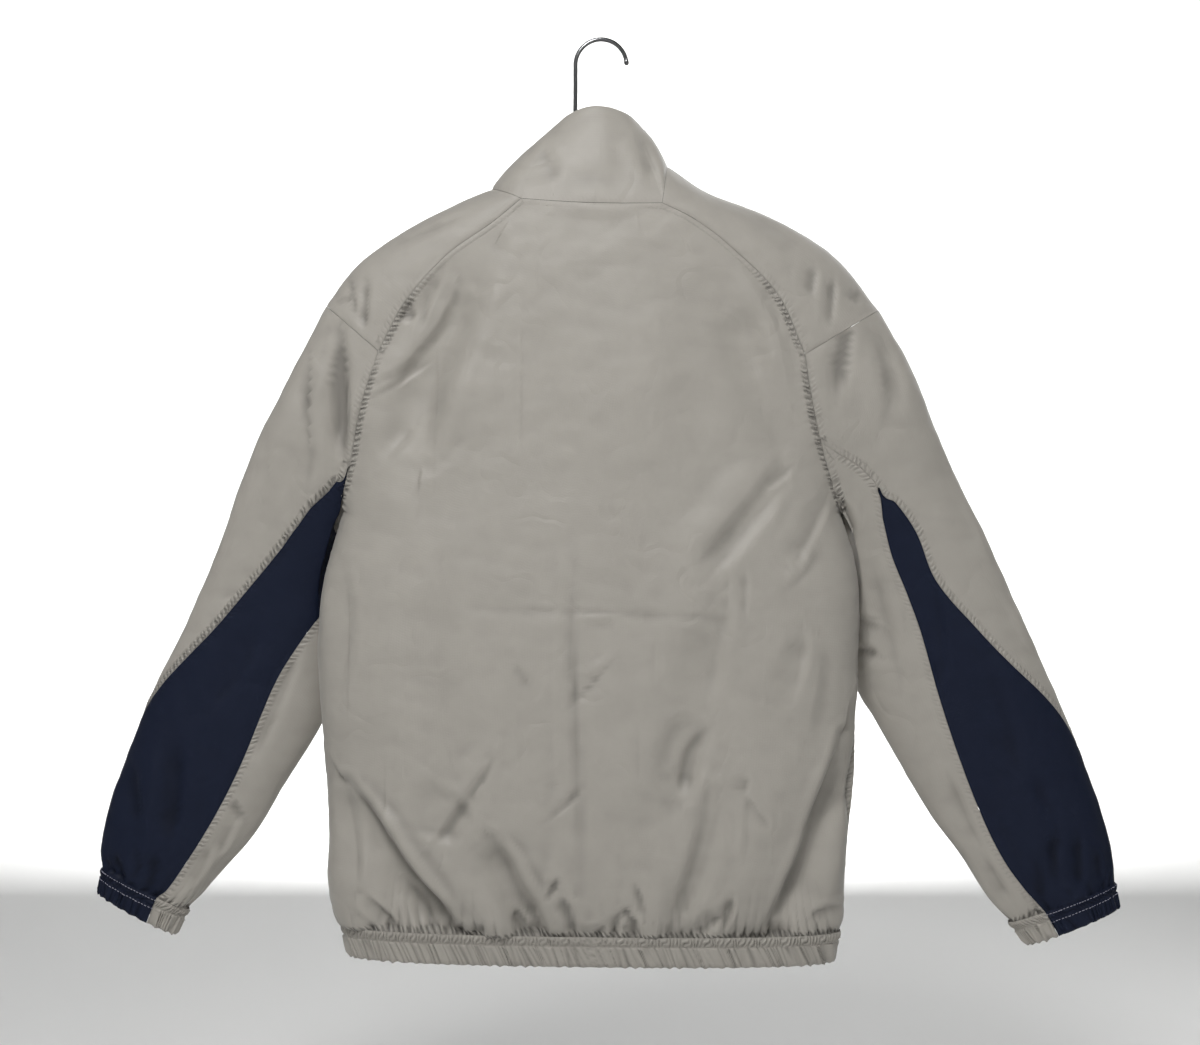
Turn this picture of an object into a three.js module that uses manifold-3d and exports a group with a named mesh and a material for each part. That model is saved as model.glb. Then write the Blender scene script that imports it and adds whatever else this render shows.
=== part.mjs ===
// Windbreaker jacket on a hanger, seen from behind in its own frame: +Z up, -Y towards the
// jacket's back, +X to the right of somebody who looks at the back. The origin is the inside
// top of the hanger's hook, where it hangs. Everything is in millimetres.
import * as THREE from "three";
import { mergeVertices } from "three/addons/utils/BufferGeometryUtils.js";
import Module from "manifold-3d";

// Cloth and seams
const CLOTH = 1.4; // wall of a panel, with its seam allowances
const SEAM_PULL = 0.18; // each panel stops this short of the seam line
const CENTRE_X = -9; // middle of the body
const SKIRT_GAP = 0.3; // between a panel's end and the elastic band under it

// Elastic hem and cuffs
const HEM_SEAM_Z = -816;
const HEM_HEIGHT = 25;
const HEM_TILT = -0.012; // the hem drops a little to the right
const HEM_GATHERS = 72;
const CUFF_HEIGHT = 22;
const CUFF_GATHERS = 22;
const GATHER_POINTS = 4; // columns to each gather
const GATHER_DEPTH = 1.5;
const BAND_WALL = 1.2;

// Front zip
const ZIP_X = -8;
const ZIP_HALF_CHAIN = 2.5;
const ZIP_CHAIN_WALL = 2.0;
const ZIP_TAPE_REACH = 12;
const ZIP_DROOP = 1.0; // how far a tape's outer edge sinks behind the front
const ZIP_TAPE_WALL = 1.0;
const ZIP_CLEAR = 0.35;
const FRONT_EDGE = 4.4; // from the zip's middle to a front panel's edge

// Rows and columns of the panels' grids
const SIDE_ROWS = 11;
const ARMHOLE_STEPS = 6;
const RAGLAN_ROWS = 7;
const BACK_COLUMNS = 24;
const FRONT_COLUMNS = 10;
const SHOULDER_COLUMNS = 6;
const COLLAR_ROWS = 4;
const NAVY_COLUMNS = 6;

// Level sections of the body below the armholes: the side seams' x, and y at the middle of
// the back and of the front.
const BODY = [
  { z: -850, left: -230, right: 214, back: -50, front: 36 },
  { z: -841, left: -231, right: 215, back: -51, front: 36 },
  { z: -816, left: -236, right: 219, back: -55, front: 38 },
  { z: -800, left: -242, right: 222, back: -62, front: 42 },
  { z: -770, left: -246, right: 225, back: -68, front: 45 },
  { z: -725, left: -249, right: 229, back: -70, front: 46 },
  { z: -675, left: -252, right: 234, back: -69, front: 45 },
  { z: -624, left: -255, right: 235, back: -67, front: 44 },
  { z: -574, left: -258, right: 236, back: -65, front: 42 },
  { z: -532, left: -257, right: 238, back: -63, front: 41 },
  { z: -495, left: -254, right: 237, back: -61, front: 40 },
  { z: -463, left: -246, right: 231, back: -59, front: 40 },
  { z: -432, left: -237, right: 221, back: -57, front: 40 },
];
const BACK_FULLNESS = 2.6; // superellipse powers of the level sections
const FRONT_FULLNESS = 2.0;

// Middle of the back, and of the front at the zip, from the armholes up to the neck
const BACK_MIDDLE = [
  { z: -432, y: -57 },
  { z: -350, y: -54 },
  { z: -285, y: -51 },
  { z: -220, y: -47 },
  { z: -180, y: -44 },
  { z: -153, y: -41 },
];
const FRONT_MIDDLE = [
  { z: -432, y: 40 },
  { z: -350, y: 43 },
  { z: -285, y: 47 },
  { z: -240, y: 51 },
  { z: -205, y: 54 },
];
// Where the back's and the front's flat parts start, in from the side and armhole seams
const BACK_SIDE = [
  { z: -850, y: 0 },
  { z: -605, y: 0 },
  { z: -520, y: -5 },
  { z: -432, y: -15 },
  { z: -370, y: -24 },
  { z: -320, y: -30 },
  { z: -287, y: -31 },
];
const FRONT_SIDE = [
  { z: -850, y: 0 },
  { z: -605, y: 0 },
  { z: -520, y: 6 },
  { z: -432, y: 22 },
  { z: -370, y: 35 },
  { z: -320, y: 41 },
  { z: -287, y: 41 },
];
const NECK_FRONT_Z = -205;

// Armhole seams, from the shoulder's top (turn 0) over the back (90), the underarm (180) and
// the front (270). Between -60 and 60 they run over the shoulder piece's end.
const ARMHOLE = {
  left: [
    { turn: 60, x: -201, y: -31, z: -287 },
    { turn: 90, x: -217, y: -30, z: -336 },
    { turn: 120, x: -228, y: -20, z: -389 },
    { turn: 150, x: -235, y: -9, z: -415 },
    { turn: 180, x: -237, y: 5, z: -432 },
    { turn: 210, x: -232, y: 25, z: -412 },
    { turn: 240, x: -220, y: 38, z: -367 },
    { turn: 270, x: -209, y: 42, z: -325 },
    { turn: 300, x: -200, y: 41, z: -288 },
  ],
  right: [
    { turn: 60, x: 186, y: -31, z: -290 },
    { turn: 90, x: 192, y: -30, z: -329 },
    { turn: 120, x: 201, y: -22, z: -368 },
    { turn: 150, x: 215, y: -9, z: -413 },
    { turn: 180, x: 221, y: 5, z: -432 },
    { turn: 210, x: 216, y: 25, z: -410 },
    { turn: 240, x: 202, y: 38, z: -363 },
    { turn: 270, x: 193, y: 42, z: -323 },
    { turn: 300, x: 184, y: 41, z: -288 },
  ],
};

// A table's rows as objects, with a value for each of its columns' names.
const table = (names, rows) =>
  rows.map((row) => Object.fromEntries(names.split(" ").map((name, i) => [name, row[i]])));

// Shoulder pieces from the neck out to the sleeve head: the back raglan seam, the top of the
// shoulder and the front raglan seam.
const SHOULDER = {
  left: table("backX backY backZ topX topY topZ frontX frontY frontZ", [
    [-71, -40, -150, -100, 4, -137, -70, 52, -172],
    [-98, -39, -172, -133, 3, -150, -98, 50, -188],
    [-139, -37, -201, -175, 2, -172, -136, 47, -212],
    [-176, -34, -242, -222, 1, -204, -172, 44, -247],
    [-201, -31, -287, -252, 2, -243, -200, 41, -288],
  ]),
  right: table("backX backY backZ topX topY topZ frontX frontY frontZ", [
    [56, -40, -154, 62, 4, -115, 52, 52, -174],
    [86, -39, -169, 99, 3, -139, 82, 50, -188],
    [118, -37, -193, 153, 2, -160, 120, 47, -211],
    [161, -34, -236, 214, 1, -197, 156, 44, -245],
    [186, -31, -290, 257, 2, -247, 184, 41, -288],
  ]),
};

// Sleeve sections from the armhole to the cuff's end. A section lies in the plane through its
// outer and inner edges. half is half its depth. upper, lower and fore are the seams' shares
// of the way from the outer edge to the inner edge: the navy insert's upper and lower seams on
// the back, negative where they have passed round the outer edge, and the seam on the front.
const SLEEVE = {
  left: table("outX outZ outY inX inZ inY half upper lower fore", [
    [-285, -307, 4, -232, -459, 27, 33, 0.7, 0.84, 0.78],
    [-311, -356, 8, -231, -485, 33, 31, 0.57, 0.92, 0.75],
    [-338, -428, 12, -233, -514, 37, 29, 0.44, 0.85, 0.72],
    [-362, -486, 16, -235, -548, 38, 28, 0.3, 0.74, 0.7],
    [-386, -539, 20, -241, -588, 37, 28, 0.17, 0.67, 0.7],
    [-410, -587, 23, -256, -623, 34, 28, 0.05, 0.66, 0.7],
    [-435, -645, 25, -295, -688, 31, 28, -0.008, 0.71, 0.7],
    [-453, -693, 26, -328, -740, 30, 27, -0.053, 0.72, 0.7],
    [-462, -731, 26, -356, -772, 28, 25, -0.13, 0.73, 0.7],
    [-464, -755, 26, -375, -795, 27, 22, -0.2, 0.71, 0.7],
    [-463, -766, 26, -385, -804, 26, 19, -0.26, 0.67, 0.7],
    [-468, -788, 26, -396, -827, 26, 18, -0.29, 0.65, 0.7],
  ]),
  right: table("outX outZ outY inX inZ inY half upper lower fore", [
    [287, -302, 4, 221, -461, 27, 33, 0.62, 0.62, 0.78],
    [310, -357, 8, 221, -490, 33, 31, 0.48, 0.585, 0.75],
    [333, -408, 12, 219, -521, 37, 29, 0.38, 0.57, 0.72],
    [359, -459, 16, 225, -553, 38, 28, 0.38, 0.56, 0.7],
    [382, -509, 20, 234, -587, 37, 28, 0.29, 0.565, 0.7],
    [408, -566, 23, 257, -627, 34, 28, 0.17, 0.63, 0.7],
    [433, -622, 25, 281, -668, 31, 28, 0.03, 0.685, 0.7],
    [456, -680, 26, 311, -719, 30, 27, -0.012, 0.73, 0.7],
    [472, -728, 26, 343, -762, 28, 25, -0.055, 0.77, 0.7],
    [478, -759, 26, 366, -797, 27, 22, -0.12, 0.73, 0.7],
    [479, -780, 26, 383, -816, 26, 19, -0.18, 0.69, 0.7],
    [484, -806, 26, 401, -840, 26, 18, -0.21, 0.66, 0.7],
  ]),
};
const SLEEVE_FULLNESS = 2.2;
const NAVY_TIP = { left: 0.25, right: 1.5 }; // section number where the navy insert starts
const CUFF_SECTION = 11; // the cuff's seam is the eleventh section
const ARMHOLE_SEAM_TURN = 120; // where the sleeve's back seam meets the armhole
const FORE_SEAM_TURN = 220; // where the sleeve's front seam meets the armhole
const SLEEVE_STOPS = [0, 0.25, 0.5, 1, 1.5, 2, 3, 4, 5, 6, 7, 8, 9, 10, 11];
const SLEEVE_CLEAR = 4.6; // from the body where the sleeve hangs against it

// Stand collar: the top edge at the back, the sides and the front
const COLLAR_TOP = {
  backZ: -64, backY: -22, sideZ: -87, middleY: 16, frontZ: -131, frontY: 58, left: -46, right: 43,
};

// Large soft folds, troughs where depth is negative: both ends, half-width and depth
const BACK_FOLDS = [
  { x0: -238, z0: -682, x1: -122, z1: -822, wide: 22, deep: -7 },
  { x0: -212, z0: -700, x1: -96, z1: -800, wide: 26, deep: 4 },
  { x0: -104, z0: -725, x1: -40, z1: -826, wide: 20, deep: -6 },
  { x0: 228, z0: -655, x1: 146, z1: -818, wide: 20, deep: -7 },
  { x0: 190, z0: -640, x1: 118, z1: -790, wide: 26, deep: 3 },
  { x0: 100, z0: -540, x1: 68, z1: -705, wide: 26, deep: -4 },
  { x0: -120, z0: -235, x1: -176, z1: -360, wide: 24, deep: -5 },
  { x0: -95, z0: -300, x1: -190, z1: -420, wide: 26, deep: 3 },
  { x0: 120, z0: -250, x1: 162, z1: -370, wide: 24, deep: -4 },
];
const FRONT_FOLDS = [
  { x0: -215, z0: -660, x1: -130, z1: -820, wide: 24, deep: -6 },
  { x0: -110, z0: -700, x1: -70, z1: -822, wide: 20, deep: -5 },
  { x0: 190, z0: -670, x1: 120, z1: -820, wide: 24, deep: -6 },
  { x0: 95, z0: -560, x1: 62, z1: -740, wide: 24, deep: -4 },
  { x0: -110, z0: -250, x1: -165, z1: -380, wide: 24, deep: -4 },
  { x0: 100, z0: -250, x1: 150, z1: -380, wide: 24, deep: -4 },
];

// Hanger
const HANGER = { wide: 11, tall: 22, hubX: -9, hubZ: -139, sides: 12 };
const SEAT_GAP = 0.4; // under the shoulders' cloth
const HOOK = { wire: 4, radius: 23.5, middleX: 1, shankX: -22.5, sides: 8 };

// Zip slider and pull
const SLIDER = {
  wide: 7.6, tall: 13, back: 0.45, face: 2.4, below: 10, earFrom: 1.95, earTo: 3.2, earRadius: 1.9,
};
const PIN = { radius: 0.8, standoff: 3.4 };
const PULL = { wide: 7, long: 27, thick: 1.8, eye: 2.6, hole: 1.2, neck: 3.2, neckLong: 6 };

const GREY = 0xa19d95;
const NAVY = 0x1b2031;
const ZIP_GREY = 0x8a8781;
const METAL = 0x6c6b6a;
const PLASTIC = 0x2b2b2d;

const cloth = (colour) => new THREE.MeshStandardMaterial({ color: colour, roughness: 0.62, metalness: 0 });
const metal = (colour) => new THREE.MeshStandardMaterial({ color: colour, roughness: 0.3, metalness: 0.9 });
const point = (x, y, z) => new THREE.Vector3(x, y, z);
const mix = (a, b, t) => a + (b - a) * t;
const clamp = (t) => Math.min(1, Math.max(0, t));
const smooth = (t) => clamp(t) ** 2 * (3 - 2 * clamp(t));

// A smooth curve through (knots[i], values[i]); knots rise.
function spline(knots, values) {
  const last = knots.length - 1;
  const slope = knots.map((_, i) => {
    const a = Math.max(0, i - 1);
    const b = Math.min(last, i + 1);
    return (values[b] - values[a]) / (knots[b] - knots[a]);
  });
  return (at) => {
    const t = Math.min(knots[last], Math.max(knots[0], at));
    let i = 0;
    while (i < last - 1 && t > knots[i + 1]) i += 1;
    const h = knots[i + 1] - knots[i];
    const s = (t - knots[i]) / h;
    const s2 = s * s;
    const s3 = s2 * s;
    return (
      values[i] * (2 * s3 - 3 * s2 + 1) +
      slope[i] * h * (s3 - 2 * s2 + s) +
      values[i + 1] * (3 * s2 - 2 * s3) +
      slope[i + 1] * h * (s3 - s2)
    );
  };
}

// A smooth curve through points; whole numbers of its place give the points themselves.
function curveThrough(points) {
  const last = points.length - 1;
  const gaps = points.slice(1).map((p, i) => p.distanceTo(points[i]));
  const ways = points.map((p, i) => {
    const before = i > 0 ? p.clone().sub(points[i - 1]).divideScalar(gaps[i - 1]) : null;
    const after = i < last ? points[i + 1].clone().sub(p).divideScalar(gaps[i]) : null;
    if (!before || !after) return before || after;
    const sum = gaps[i - 1] + gaps[i];
    return before.multiplyScalar(gaps[i] / sum).addScaledVector(after, gaps[i - 1] / sum);
  });
  return (at) => {
    const i = Math.min(last - 1, Math.floor(at));
    const t = at - i;
    const t2 = t * t;
    const t3 = t2 * t;
    return points[i].clone().multiplyScalar(2 * t3 - 3 * t2 + 1)
      .addScaledVector(ways[i], gaps[i] * (t3 - 2 * t2 + t))
      .addScaledVector(points[i + 1], 3 * t2 - 2 * t3)
      .addScaledVector(ways[i + 1], gaps[i] * (t3 - t2));
  };
}

// One spline for each column of a table, over the column named by key or over 0, 1, 2...
function tableCurves(rows, key) {
  const knots = rows.map((row, i) => (key ? row[key] : i));
  const curves = {};
  for (const name of Object.keys(rows[0])) {
    if (name !== key) {
      curves[name] = spline(knots, rows.map((row) => row[name]));
    }
  }
  return curves;
}

const body = tableCurves(BODY, "z");
const backMiddle = tableCurves(BACK_MIDDLE, "z");
const frontMiddle = tableCurves(FRONT_MIDDLE, "z");
const backSide = tableCurves(BACK_SIDE, "z");
const frontSide = tableCurves(FRONT_SIDE, "z");

// Depth of the soft folds at a place on the back or the front.
function foldDepth(folds, x, z) {
  let sum = 0;
  for (const f of folds) {
    const dx = f.x1 - f.x0;
    const dz = f.z1 - f.z0;
    const along = clamp(((x - f.x0) * dx + (z - f.z0) * dz) / (dx * dx + dz * dz));
    const away = Math.hypot(x - f.x0 - dx * along, z - f.z0 - dz * along) / f.wide;
    sum += f.deep * Math.exp(-away * away) * smooth(along * 4 + 0.2);
  }
  return sum;
}

// The body's level section: a point at share t of the half turn from the left to the right.
function levelSection(z, t, side) {
  const fullness = side === "back" ? BACK_FULLNESS : FRONT_FULLNESS;
  const c = Math.cos(Math.PI * t);
  const along = Math.sign(c) * Math.abs(c) ** (2 / fullness);
  const bulge = Math.abs(Math.sin(Math.PI * t)) ** (2 / fullness);
  const half = (body.right(z) - body.left(z)) / 2;
  const x = (body.right(z) + body.left(z)) / 2 - half * along;
  return point(x, body[side](z) * bulge, z + HEM_TILT * (x - CENTRE_X) * smooth((-700 - z) / 100));
}

// Armhole and shoulder curves of one side.
function sideCurves(side) {
  const hole = tableCurves(ARMHOLE[side], "turn");
  const rows = tableCurves(SHOULDER[side]);
  const span = SHOULDER[side].length - 1;
  // Across the shoulder piece: -1 at the front seam, 0 on top, 1 at the back seam.
  const shoulder = (across, along) => {
    const s = along * span;
    const end = across > 0 ? "back" : "front";
    const rise = Math.sin((1 - Math.abs(across)) * Math.PI / 2);
    const reach = Math.cos((1 - Math.abs(across)) * Math.PI / 2);
    return point(
      mix(rows[end + "X"](s), rows.topX(s), rise),
      mix(rows.topY(s), rows[end + "Y"](s), reach),
      mix(rows[end + "Z"](s), rows.topZ(s), rise),
    );
  };
  const armhole = (turn) => {
    const t = ((turn % 360) + 360) % 360;
    if (t < 60) return shoulder(t / 60, 1);
    if (t > 300) return shoulder((t - 360) / 60, 1);
    return point(hole.x(t), hole.y(t), hole.z(t));
  };
  return { shoulder, armhole };
}
const curves = { left: sideCurves("left"), right: sideCurves("right") };

// The side seams' y: level with the middle of the underarm at the top, 0 lower down.
const seamY = (z) => ARMHOLE.left[4].y * smooth((z + 605) / 173);

// The edge of the back or front, from the hem up: side seam, armhole, raglan seam.
function panelEdge(side, face) {
  const sign = side === "left" ? 0 : 1;
  const edge = [];
  const underarm = curves[side].armhole(180);
  for (let i = 0; i < SIDE_ROWS; i += 1) {
    const z = mix(HEM_SEAM_Z, underarm.z, i / SIDE_ROWS);
    const p = levelSection(z, sign, "back");
    p.y = seamY(z);
    edge.push(p);
  }
  for (let i = 0; i <= ARMHOLE_STEPS; i += 1) {
    const turn = face === "back" ? mix(180, 60, i / ARMHOLE_STEPS) : mix(180, 300, i / ARMHOLE_STEPS);
    edge.push(curves[side].armhole(turn));
  }
  for (let i = 1; i <= RAGLAN_ROWS; i += 1) {
    edge.push(curves[side].shoulder(face === "back" ? 1 : -1, 1 - i / RAGLAN_ROWS));
  }
  return edge;
}
const ROWS = SIDE_ROWS + ARMHOLE_STEPS + RAGLAN_ROWS;
// How much a row keeps of the level section's round sides, which go as the armholes begin.
const roundness = (z) => 1 - smooth((z + 520) / 190);

// Rows of the back panel, left to right.
function backRows() {
  const left = panelEdge("left", "back");
  const right = panelEdge("right", "back");
  return left.map((from, i) => {
    const to = right[i];
    const round = roundness((from.z + to.z) / 2);
    const row = [];
    for (let j = 0; j <= BACK_COLUMNS; j += 1) {
      const t = j / BACK_COLUMNS;
      const neck = smooth((i - ROWS + 3) / 3);
      const c = Math.cos(Math.PI * t);
      const roundT = (1 - Math.sign(c) * Math.abs(c) ** (2 / BACK_FULLNESS)) / 2;
      const share = mix(t, roundT, round);
      const x = mix(from.x, to.x, share);
      const z = mix(from.z, to.z, share) - neck * 2 * Math.sin(Math.PI * t);
      const middle = z < -432 ? body.back(z) : backMiddle.y(z);
      const bulge = mix(1 - (2 * t - 1) ** 2, Math.sin(Math.PI * t) ** (2 / BACK_FULLNESS), round);
      const side = i < SIDE_ROWS + ARMHOLE_STEPS ? backSide.y(z) : mix(from.y, to.y, t);
      const seam = (from.y - side) * Math.exp(-j) + (to.y - side) * Math.exp(j - BACK_COLUMNS);
      const ends = side + (i < SIDE_ROWS + ARMHOLE_STEPS ? seam : 0);
      const inside = smooth(t * 9) * smooth((1 - t) * 9) * smooth((ROWS - i) / 2);
      if (j === 0 || j === BACK_COLUMNS) {
        row.push(j === 0 ? from.clone() : to.clone());
        continue;
      }
      row.push(point(x, mix(ends, middle, bulge) - foldDepth(BACK_FOLDS, x, z) * inside, z));
    }
    return row;
  });
}

// Rows of one front panel, from the zip out to the side.
function frontRows(side) {
  const edge = panelEdge(side, "front");
  const sign = side === "left" ? -1 : 1;
  return edge.map((to, i) => {
    const round = roundness(to.z);
    const neck = smooth((i - SIDE_ROWS) / (ROWS - SIDE_ROWS));
    const upper = (i - SIDE_ROWS) / (ROWS - SIDE_ROWS);
    const zipZ = i <= SIDE_ROWS ? to.z : mix(edge[SIDE_ROWS].z, NECK_FRONT_Z, upper);
    const startX = ZIP_X + sign * FRONT_EDGE;
    const startY = zipZ < -432 ? body.front(zipZ) : frontMiddle.y(zipZ);
    const row = [];
    for (let j = 0; j <= FRONT_COLUMNS; j += 1) {
      const t = j / FRONT_COLUMNS;
      const power = 2 / FRONT_FULLNESS;
      const x = mix(startX, to.x, mix(t, Math.sin(t * Math.PI / 2) ** power, round));
      const z = mix(zipZ, to.z, mix(t, t ** 1.7, neck));
      const bulge = mix(1 - t ** 3, Math.abs(Math.cos(t * Math.PI / 2)) ** power, round);
      const inside = smooth(t * 4 - 0.5) * smooth((1 - t) * 5) * smooth((ROWS - i) / 2);
      if (j === FRONT_COLUMNS) {
        row.push(to.clone());
        continue;
      }
      const flat = i < SIDE_ROWS + ARMHOLE_STEPS ? frontSide.y(z) : to.y;
      const ends = flat + (to.y - flat) * Math.exp(j - FRONT_COLUMNS);
      const level = HEM_SEAM_Z + HEM_TILT * (x - CENTRE_X);
      const y = mix(ends, startY, bulge) + foldDepth(FRONT_FOLDS, x, z) * inside;
      row.push(point(x, y, i === 0 ? level : z));
    }
    return row;
  });
}

// Rows of a shoulder piece, from the neck out, each from the back seam to the front seam.
function shoulderRows(side) {
  const rows = [];
  for (let i = 0; i <= RAGLAN_ROWS; i += 1) {
    const row = [];
    for (let j = 0; j <= SHOULDER_COLUMNS; j += 1) {
      row.push(curves[side].shoulder(1 - 2 * j / SHOULDER_COLUMNS, i / RAGLAN_ROWS));
    }
    rows.push(row);
  }
  return rows;
}

// Moves a place on a sleeve out of the body's level section, with room to spare.
function clearOfBody(p) {
  const top = ARMHOLE.left[4].z + 14;
  if (p.z > top) return;
  const middleY = seamY(p.z);
  const room = SLEEVE_CLEAR * smooth((top - p.z) / 30);
  const a = (body.right(p.z) - body.left(p.z)) / 2 + room;
  const boxy = smooth((p.z + 620) / 150);
  for (let k = 0; k < 12; k += 1) {
    const x = (p.x - (body.right(p.z) + body.left(p.z)) / 2) / a;
    const front = p.y > middleY;
    const b = Math.abs((front ? body.front(p.z) : body.back(p.z)) - middleY) + room;
    const y = (p.y - middleY) / b;
    const n = (front ? FRONT_FULLNESS : BACK_FULLNESS) + 0.8 * boxy;
    const short = 1 - Math.abs(x) ** n - Math.abs(y) ** n;
    if (short <= 0.001) return;
    const wayX = Math.sign(x) * (n / a) * Math.abs(x) ** (n - 1);
    const wayY = Math.sign(y || 1) * (n / b) * Math.max(0.05, Math.abs(y)) ** (n - 1);
    const step = Math.min(3, short / (wayX * wayX + wayY * wayY) ** 0.5) / Math.hypot(wayX, wayY);
    p.x += wayX * step;
    p.y += wayY * step;
  }
}

// A sleeve's surface at a section number (0 is the armhole) and a turn in degrees: 0 is the
// outer edge, 90 the back, 180 the inner edge and 270 the front.
function sleeveSurface(side) {
  const section = (row, turn) => {
    const a = THREE.MathUtils.degToRad(turn);
    const c = Math.cos(a);
    const s = Math.sin(a);
    const along = Math.sign(c) * Math.abs(c) ** (2 / SLEEVE_FULLNESS);
    const bulge = Math.sign(s) * Math.abs(s) ** (2 / SLEEVE_FULLNESS);
    const share = (1 - along) / 2;
    return point(
      mix(row.outX, row.inX, share),
      mix(row.outY, row.inY, share) - row.half * bulge,
      mix(row.outZ, row.inZ, share),
    );
  };
  const cache = new Map();
  return (at, turn) => {
    const key = turn.toFixed(4);
    if (!cache.has(key)) {
      const sections = SLEEVE[side].map((row) => section(row, turn));
      cache.set(key, curveThrough([curves[side].armhole(turn), ...sections]));
    }
    const p = cache.get(key)(at);
    if (at > 0) clearOfBody(p);
    return p;
  };
}

// The turn, in degrees, at a share of the way from the outer to the inner edge.
function turnOf(share) {
  const along = 1 - 2 * Math.abs(share);
  const c = Math.sign(along) * Math.abs(along) ** (SLEEVE_FULLNESS / 2);
  return Math.sign(share || 1) * THREE.MathUtils.radToDeg(Math.acos(c));
}

// The turns of a sleeve's seams at a section number.
function seamTurns(side) {
  const rows = SLEEVE[side];
  const knots = [0, ...rows.map((_, i) => i + 1)];
  const back = ARMHOLE_SEAM_TURN;
  const upper = spline(knots, [back, ...rows.map((row) => turnOf(row.upper))]);
  const lower = spline(knots, [back, ...rows.map((row) => turnOf(row.lower))]);
  const fore = spline(knots, [FORE_SEAM_TURN, ...rows.map((row) => 360 - turnOf(row.fore))]);
  const tip = NAVY_TIP[side];
  const opening = 1; // degree, half the width of the insert's tip
  return (at) => {
    const middle = (upper(at) + lower(at)) / 2;
    const open = smooth((at - tip) / 0.6);
    const half = at < tip ? 0 : opening;
    return {
      upper: Math.min(at <= tip ? middle : mix(middle, upper(at), open), middle - half),
      lower: Math.max(at <= tip ? middle : mix(middle, lower(at), open), middle + half),
      fore: fore(at),
    };
  };
}

// Rows of the three panels of a sleeve.
function sleeveRows(side) {
  const surface = sleeveSurface(side);
  const seams = seamTurns(side);
  const step = 360 / (3 * ARMHOLE_STEPS);
  const spread = (at, from, to, columns) =>
    Array.from({ length: columns + 1 }, (_, j) => surface(at, mix(from, to, j / columns)));
  const topColumns = Math.round((360 - FORE_SEAM_TURN + ARMHOLE_SEAM_TURN) / step);
  const underColumns = Math.round((FORE_SEAM_TURN - ARMHOLE_SEAM_TURN) / step);
  const top = [];
  const under = [];
  const navy = [];
  for (const at of SLEEVE_STOPS) {
    const turn = seams(at);
    top.push(spread(at, turn.fore - 360, turn.upper, topColumns));
    under.push(spread(at, turn.lower, turn.fore, underColumns));
    if (at >= NAVY_TIP[side]) navy.push(spread(at, turn.upper, turn.lower, NAVY_COLUMNS));
  }
  return { top, under, navy };
}

// The neck seam from the zip round the back to the zip again, and the collar's rows over it.
function collarRows(panels) {
  const last = (rows) => rows[rows.length - 1];
  const base = [
    ...last(panels.front_left),
    ...[...panels.shoulder_left[0]].reverse().slice(1),
    ...last(panels.back).slice(1),
    ...panels.shoulder_right[0].slice(1),
    ...[...last(panels.front_right)].reverse().slice(1),
  ];
  const top = COLLAR_TOP;
  const middle = (top.left + top.right) / 2;
  const half = (top.right - top.left) / 2;
  const lengths = [0];
  base.forEach((p, i) => i && lengths.push(lengths[i - 1] + p.distanceTo(base[i - 1])));
  const total = lengths[lengths.length - 1];
  const edge = base.map((p, i) => {
    const share = lengths[i] / total;
    const turn = Math.PI * (1 - 2 * share); // pi at the left of the zip, 0 at the back's middle
    const reach = Math.cos(turn);
    const z = reach > 0 ? mix(top.sideZ, top.backZ, reach ** 1.3) : mix(top.sideZ, top.frontZ, -reach);
    const y = reach > 0 ? mix(top.middleY, top.backY, reach) : mix(top.middleY, top.frontY, -reach);
    const tuck = 1 - 0.16 * Math.exp(-(((Math.abs(turn) - 2.2) / 0.3) ** 2));
    const x = middle - half * Math.sin(turn) * tuck;
    const zipEdge = smooth(1 - Math.min(share, 1 - share) * 12);
    return point(mix(x, p.x, zipEdge), y, z);
  });
  const rows = [];
  for (let i = 0; i <= COLLAR_ROWS; i += 1) {
    const t = i / COLLAR_ROWS;
    const stand = mix(t, Math.sin(t * Math.PI / 2), 0.35); // the cloth rises before it leans in
    const row = base.map((p, j) => {
      return point(mix(p.x, edge[j].x, t ** 1.15), mix(p.y, edge[j].y, t), mix(p.z, edge[j].z, stand));
    });
    rows.push(row);
  }
  return rows;
}

const panels = {
  back: backRows(),
  front_left: frontRows("left"),
  front_right: frontRows("right"),
  shoulder_left: shoulderRows("left"),
  shoulder_right: shoulderRows("right"),
};
panels.collar = collarRows(panels);
for (const side of ["left", "right"]) {
  const sleeve = sleeveRows(side);
  panels[`sleeve_top_${side}`] = sleeve.top;
  panels[`sleeve_under_${side}`] = sleeve.under;
  panels[`sleeve_insert_${side}`] = sleeve.navy;
}

// Turns a grid round, if need be, so that its faces point away from the hollow inside it.
function faceOut(rows, inside) {
  const i = Math.floor(rows.length / 2);
  const j = Math.floor(rows[0].length / 2);
  const along = rows[i][j + 1].clone().sub(rows[i][j - 1]);
  const up = rows[i + 1][j].clone().sub(rows[i - 1][j]);
  const out = rows[i][j].clone().sub(inside);
  return along.cross(up).dot(out) < 0 ? rows.map((row) => [...row].reverse()) : rows;
}
const sleeveMiddle = (side) => {
  const row = SLEEVE[side][5];
  return point((row.outX + row.inX) / 2, (row.outY + row.inY) / 2, (row.outZ + row.inZ) / 2);
};
const INSIDE = {
  back: point(CENTRE_X, 0, -500),
  front_left: point(CENTRE_X, 0, -450),
  front_right: point(CENTRE_X, 0, -450),
  shoulder_left: point(-130, 0, -260),
  shoulder_right: point(120, 0, -260),
  collar: point(0, 10, -130),
  sleeve_top_left: sleeveMiddle("left"),
  sleeve_under_left: sleeveMiddle("left"),
  sleeve_insert_left: sleeveMiddle("left"),
  sleeve_top_right: sleeveMiddle("right"),
  sleeve_under_right: sleeveMiddle("right"),
  sleeve_insert_right: sleeveMiddle("right"),
};
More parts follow.
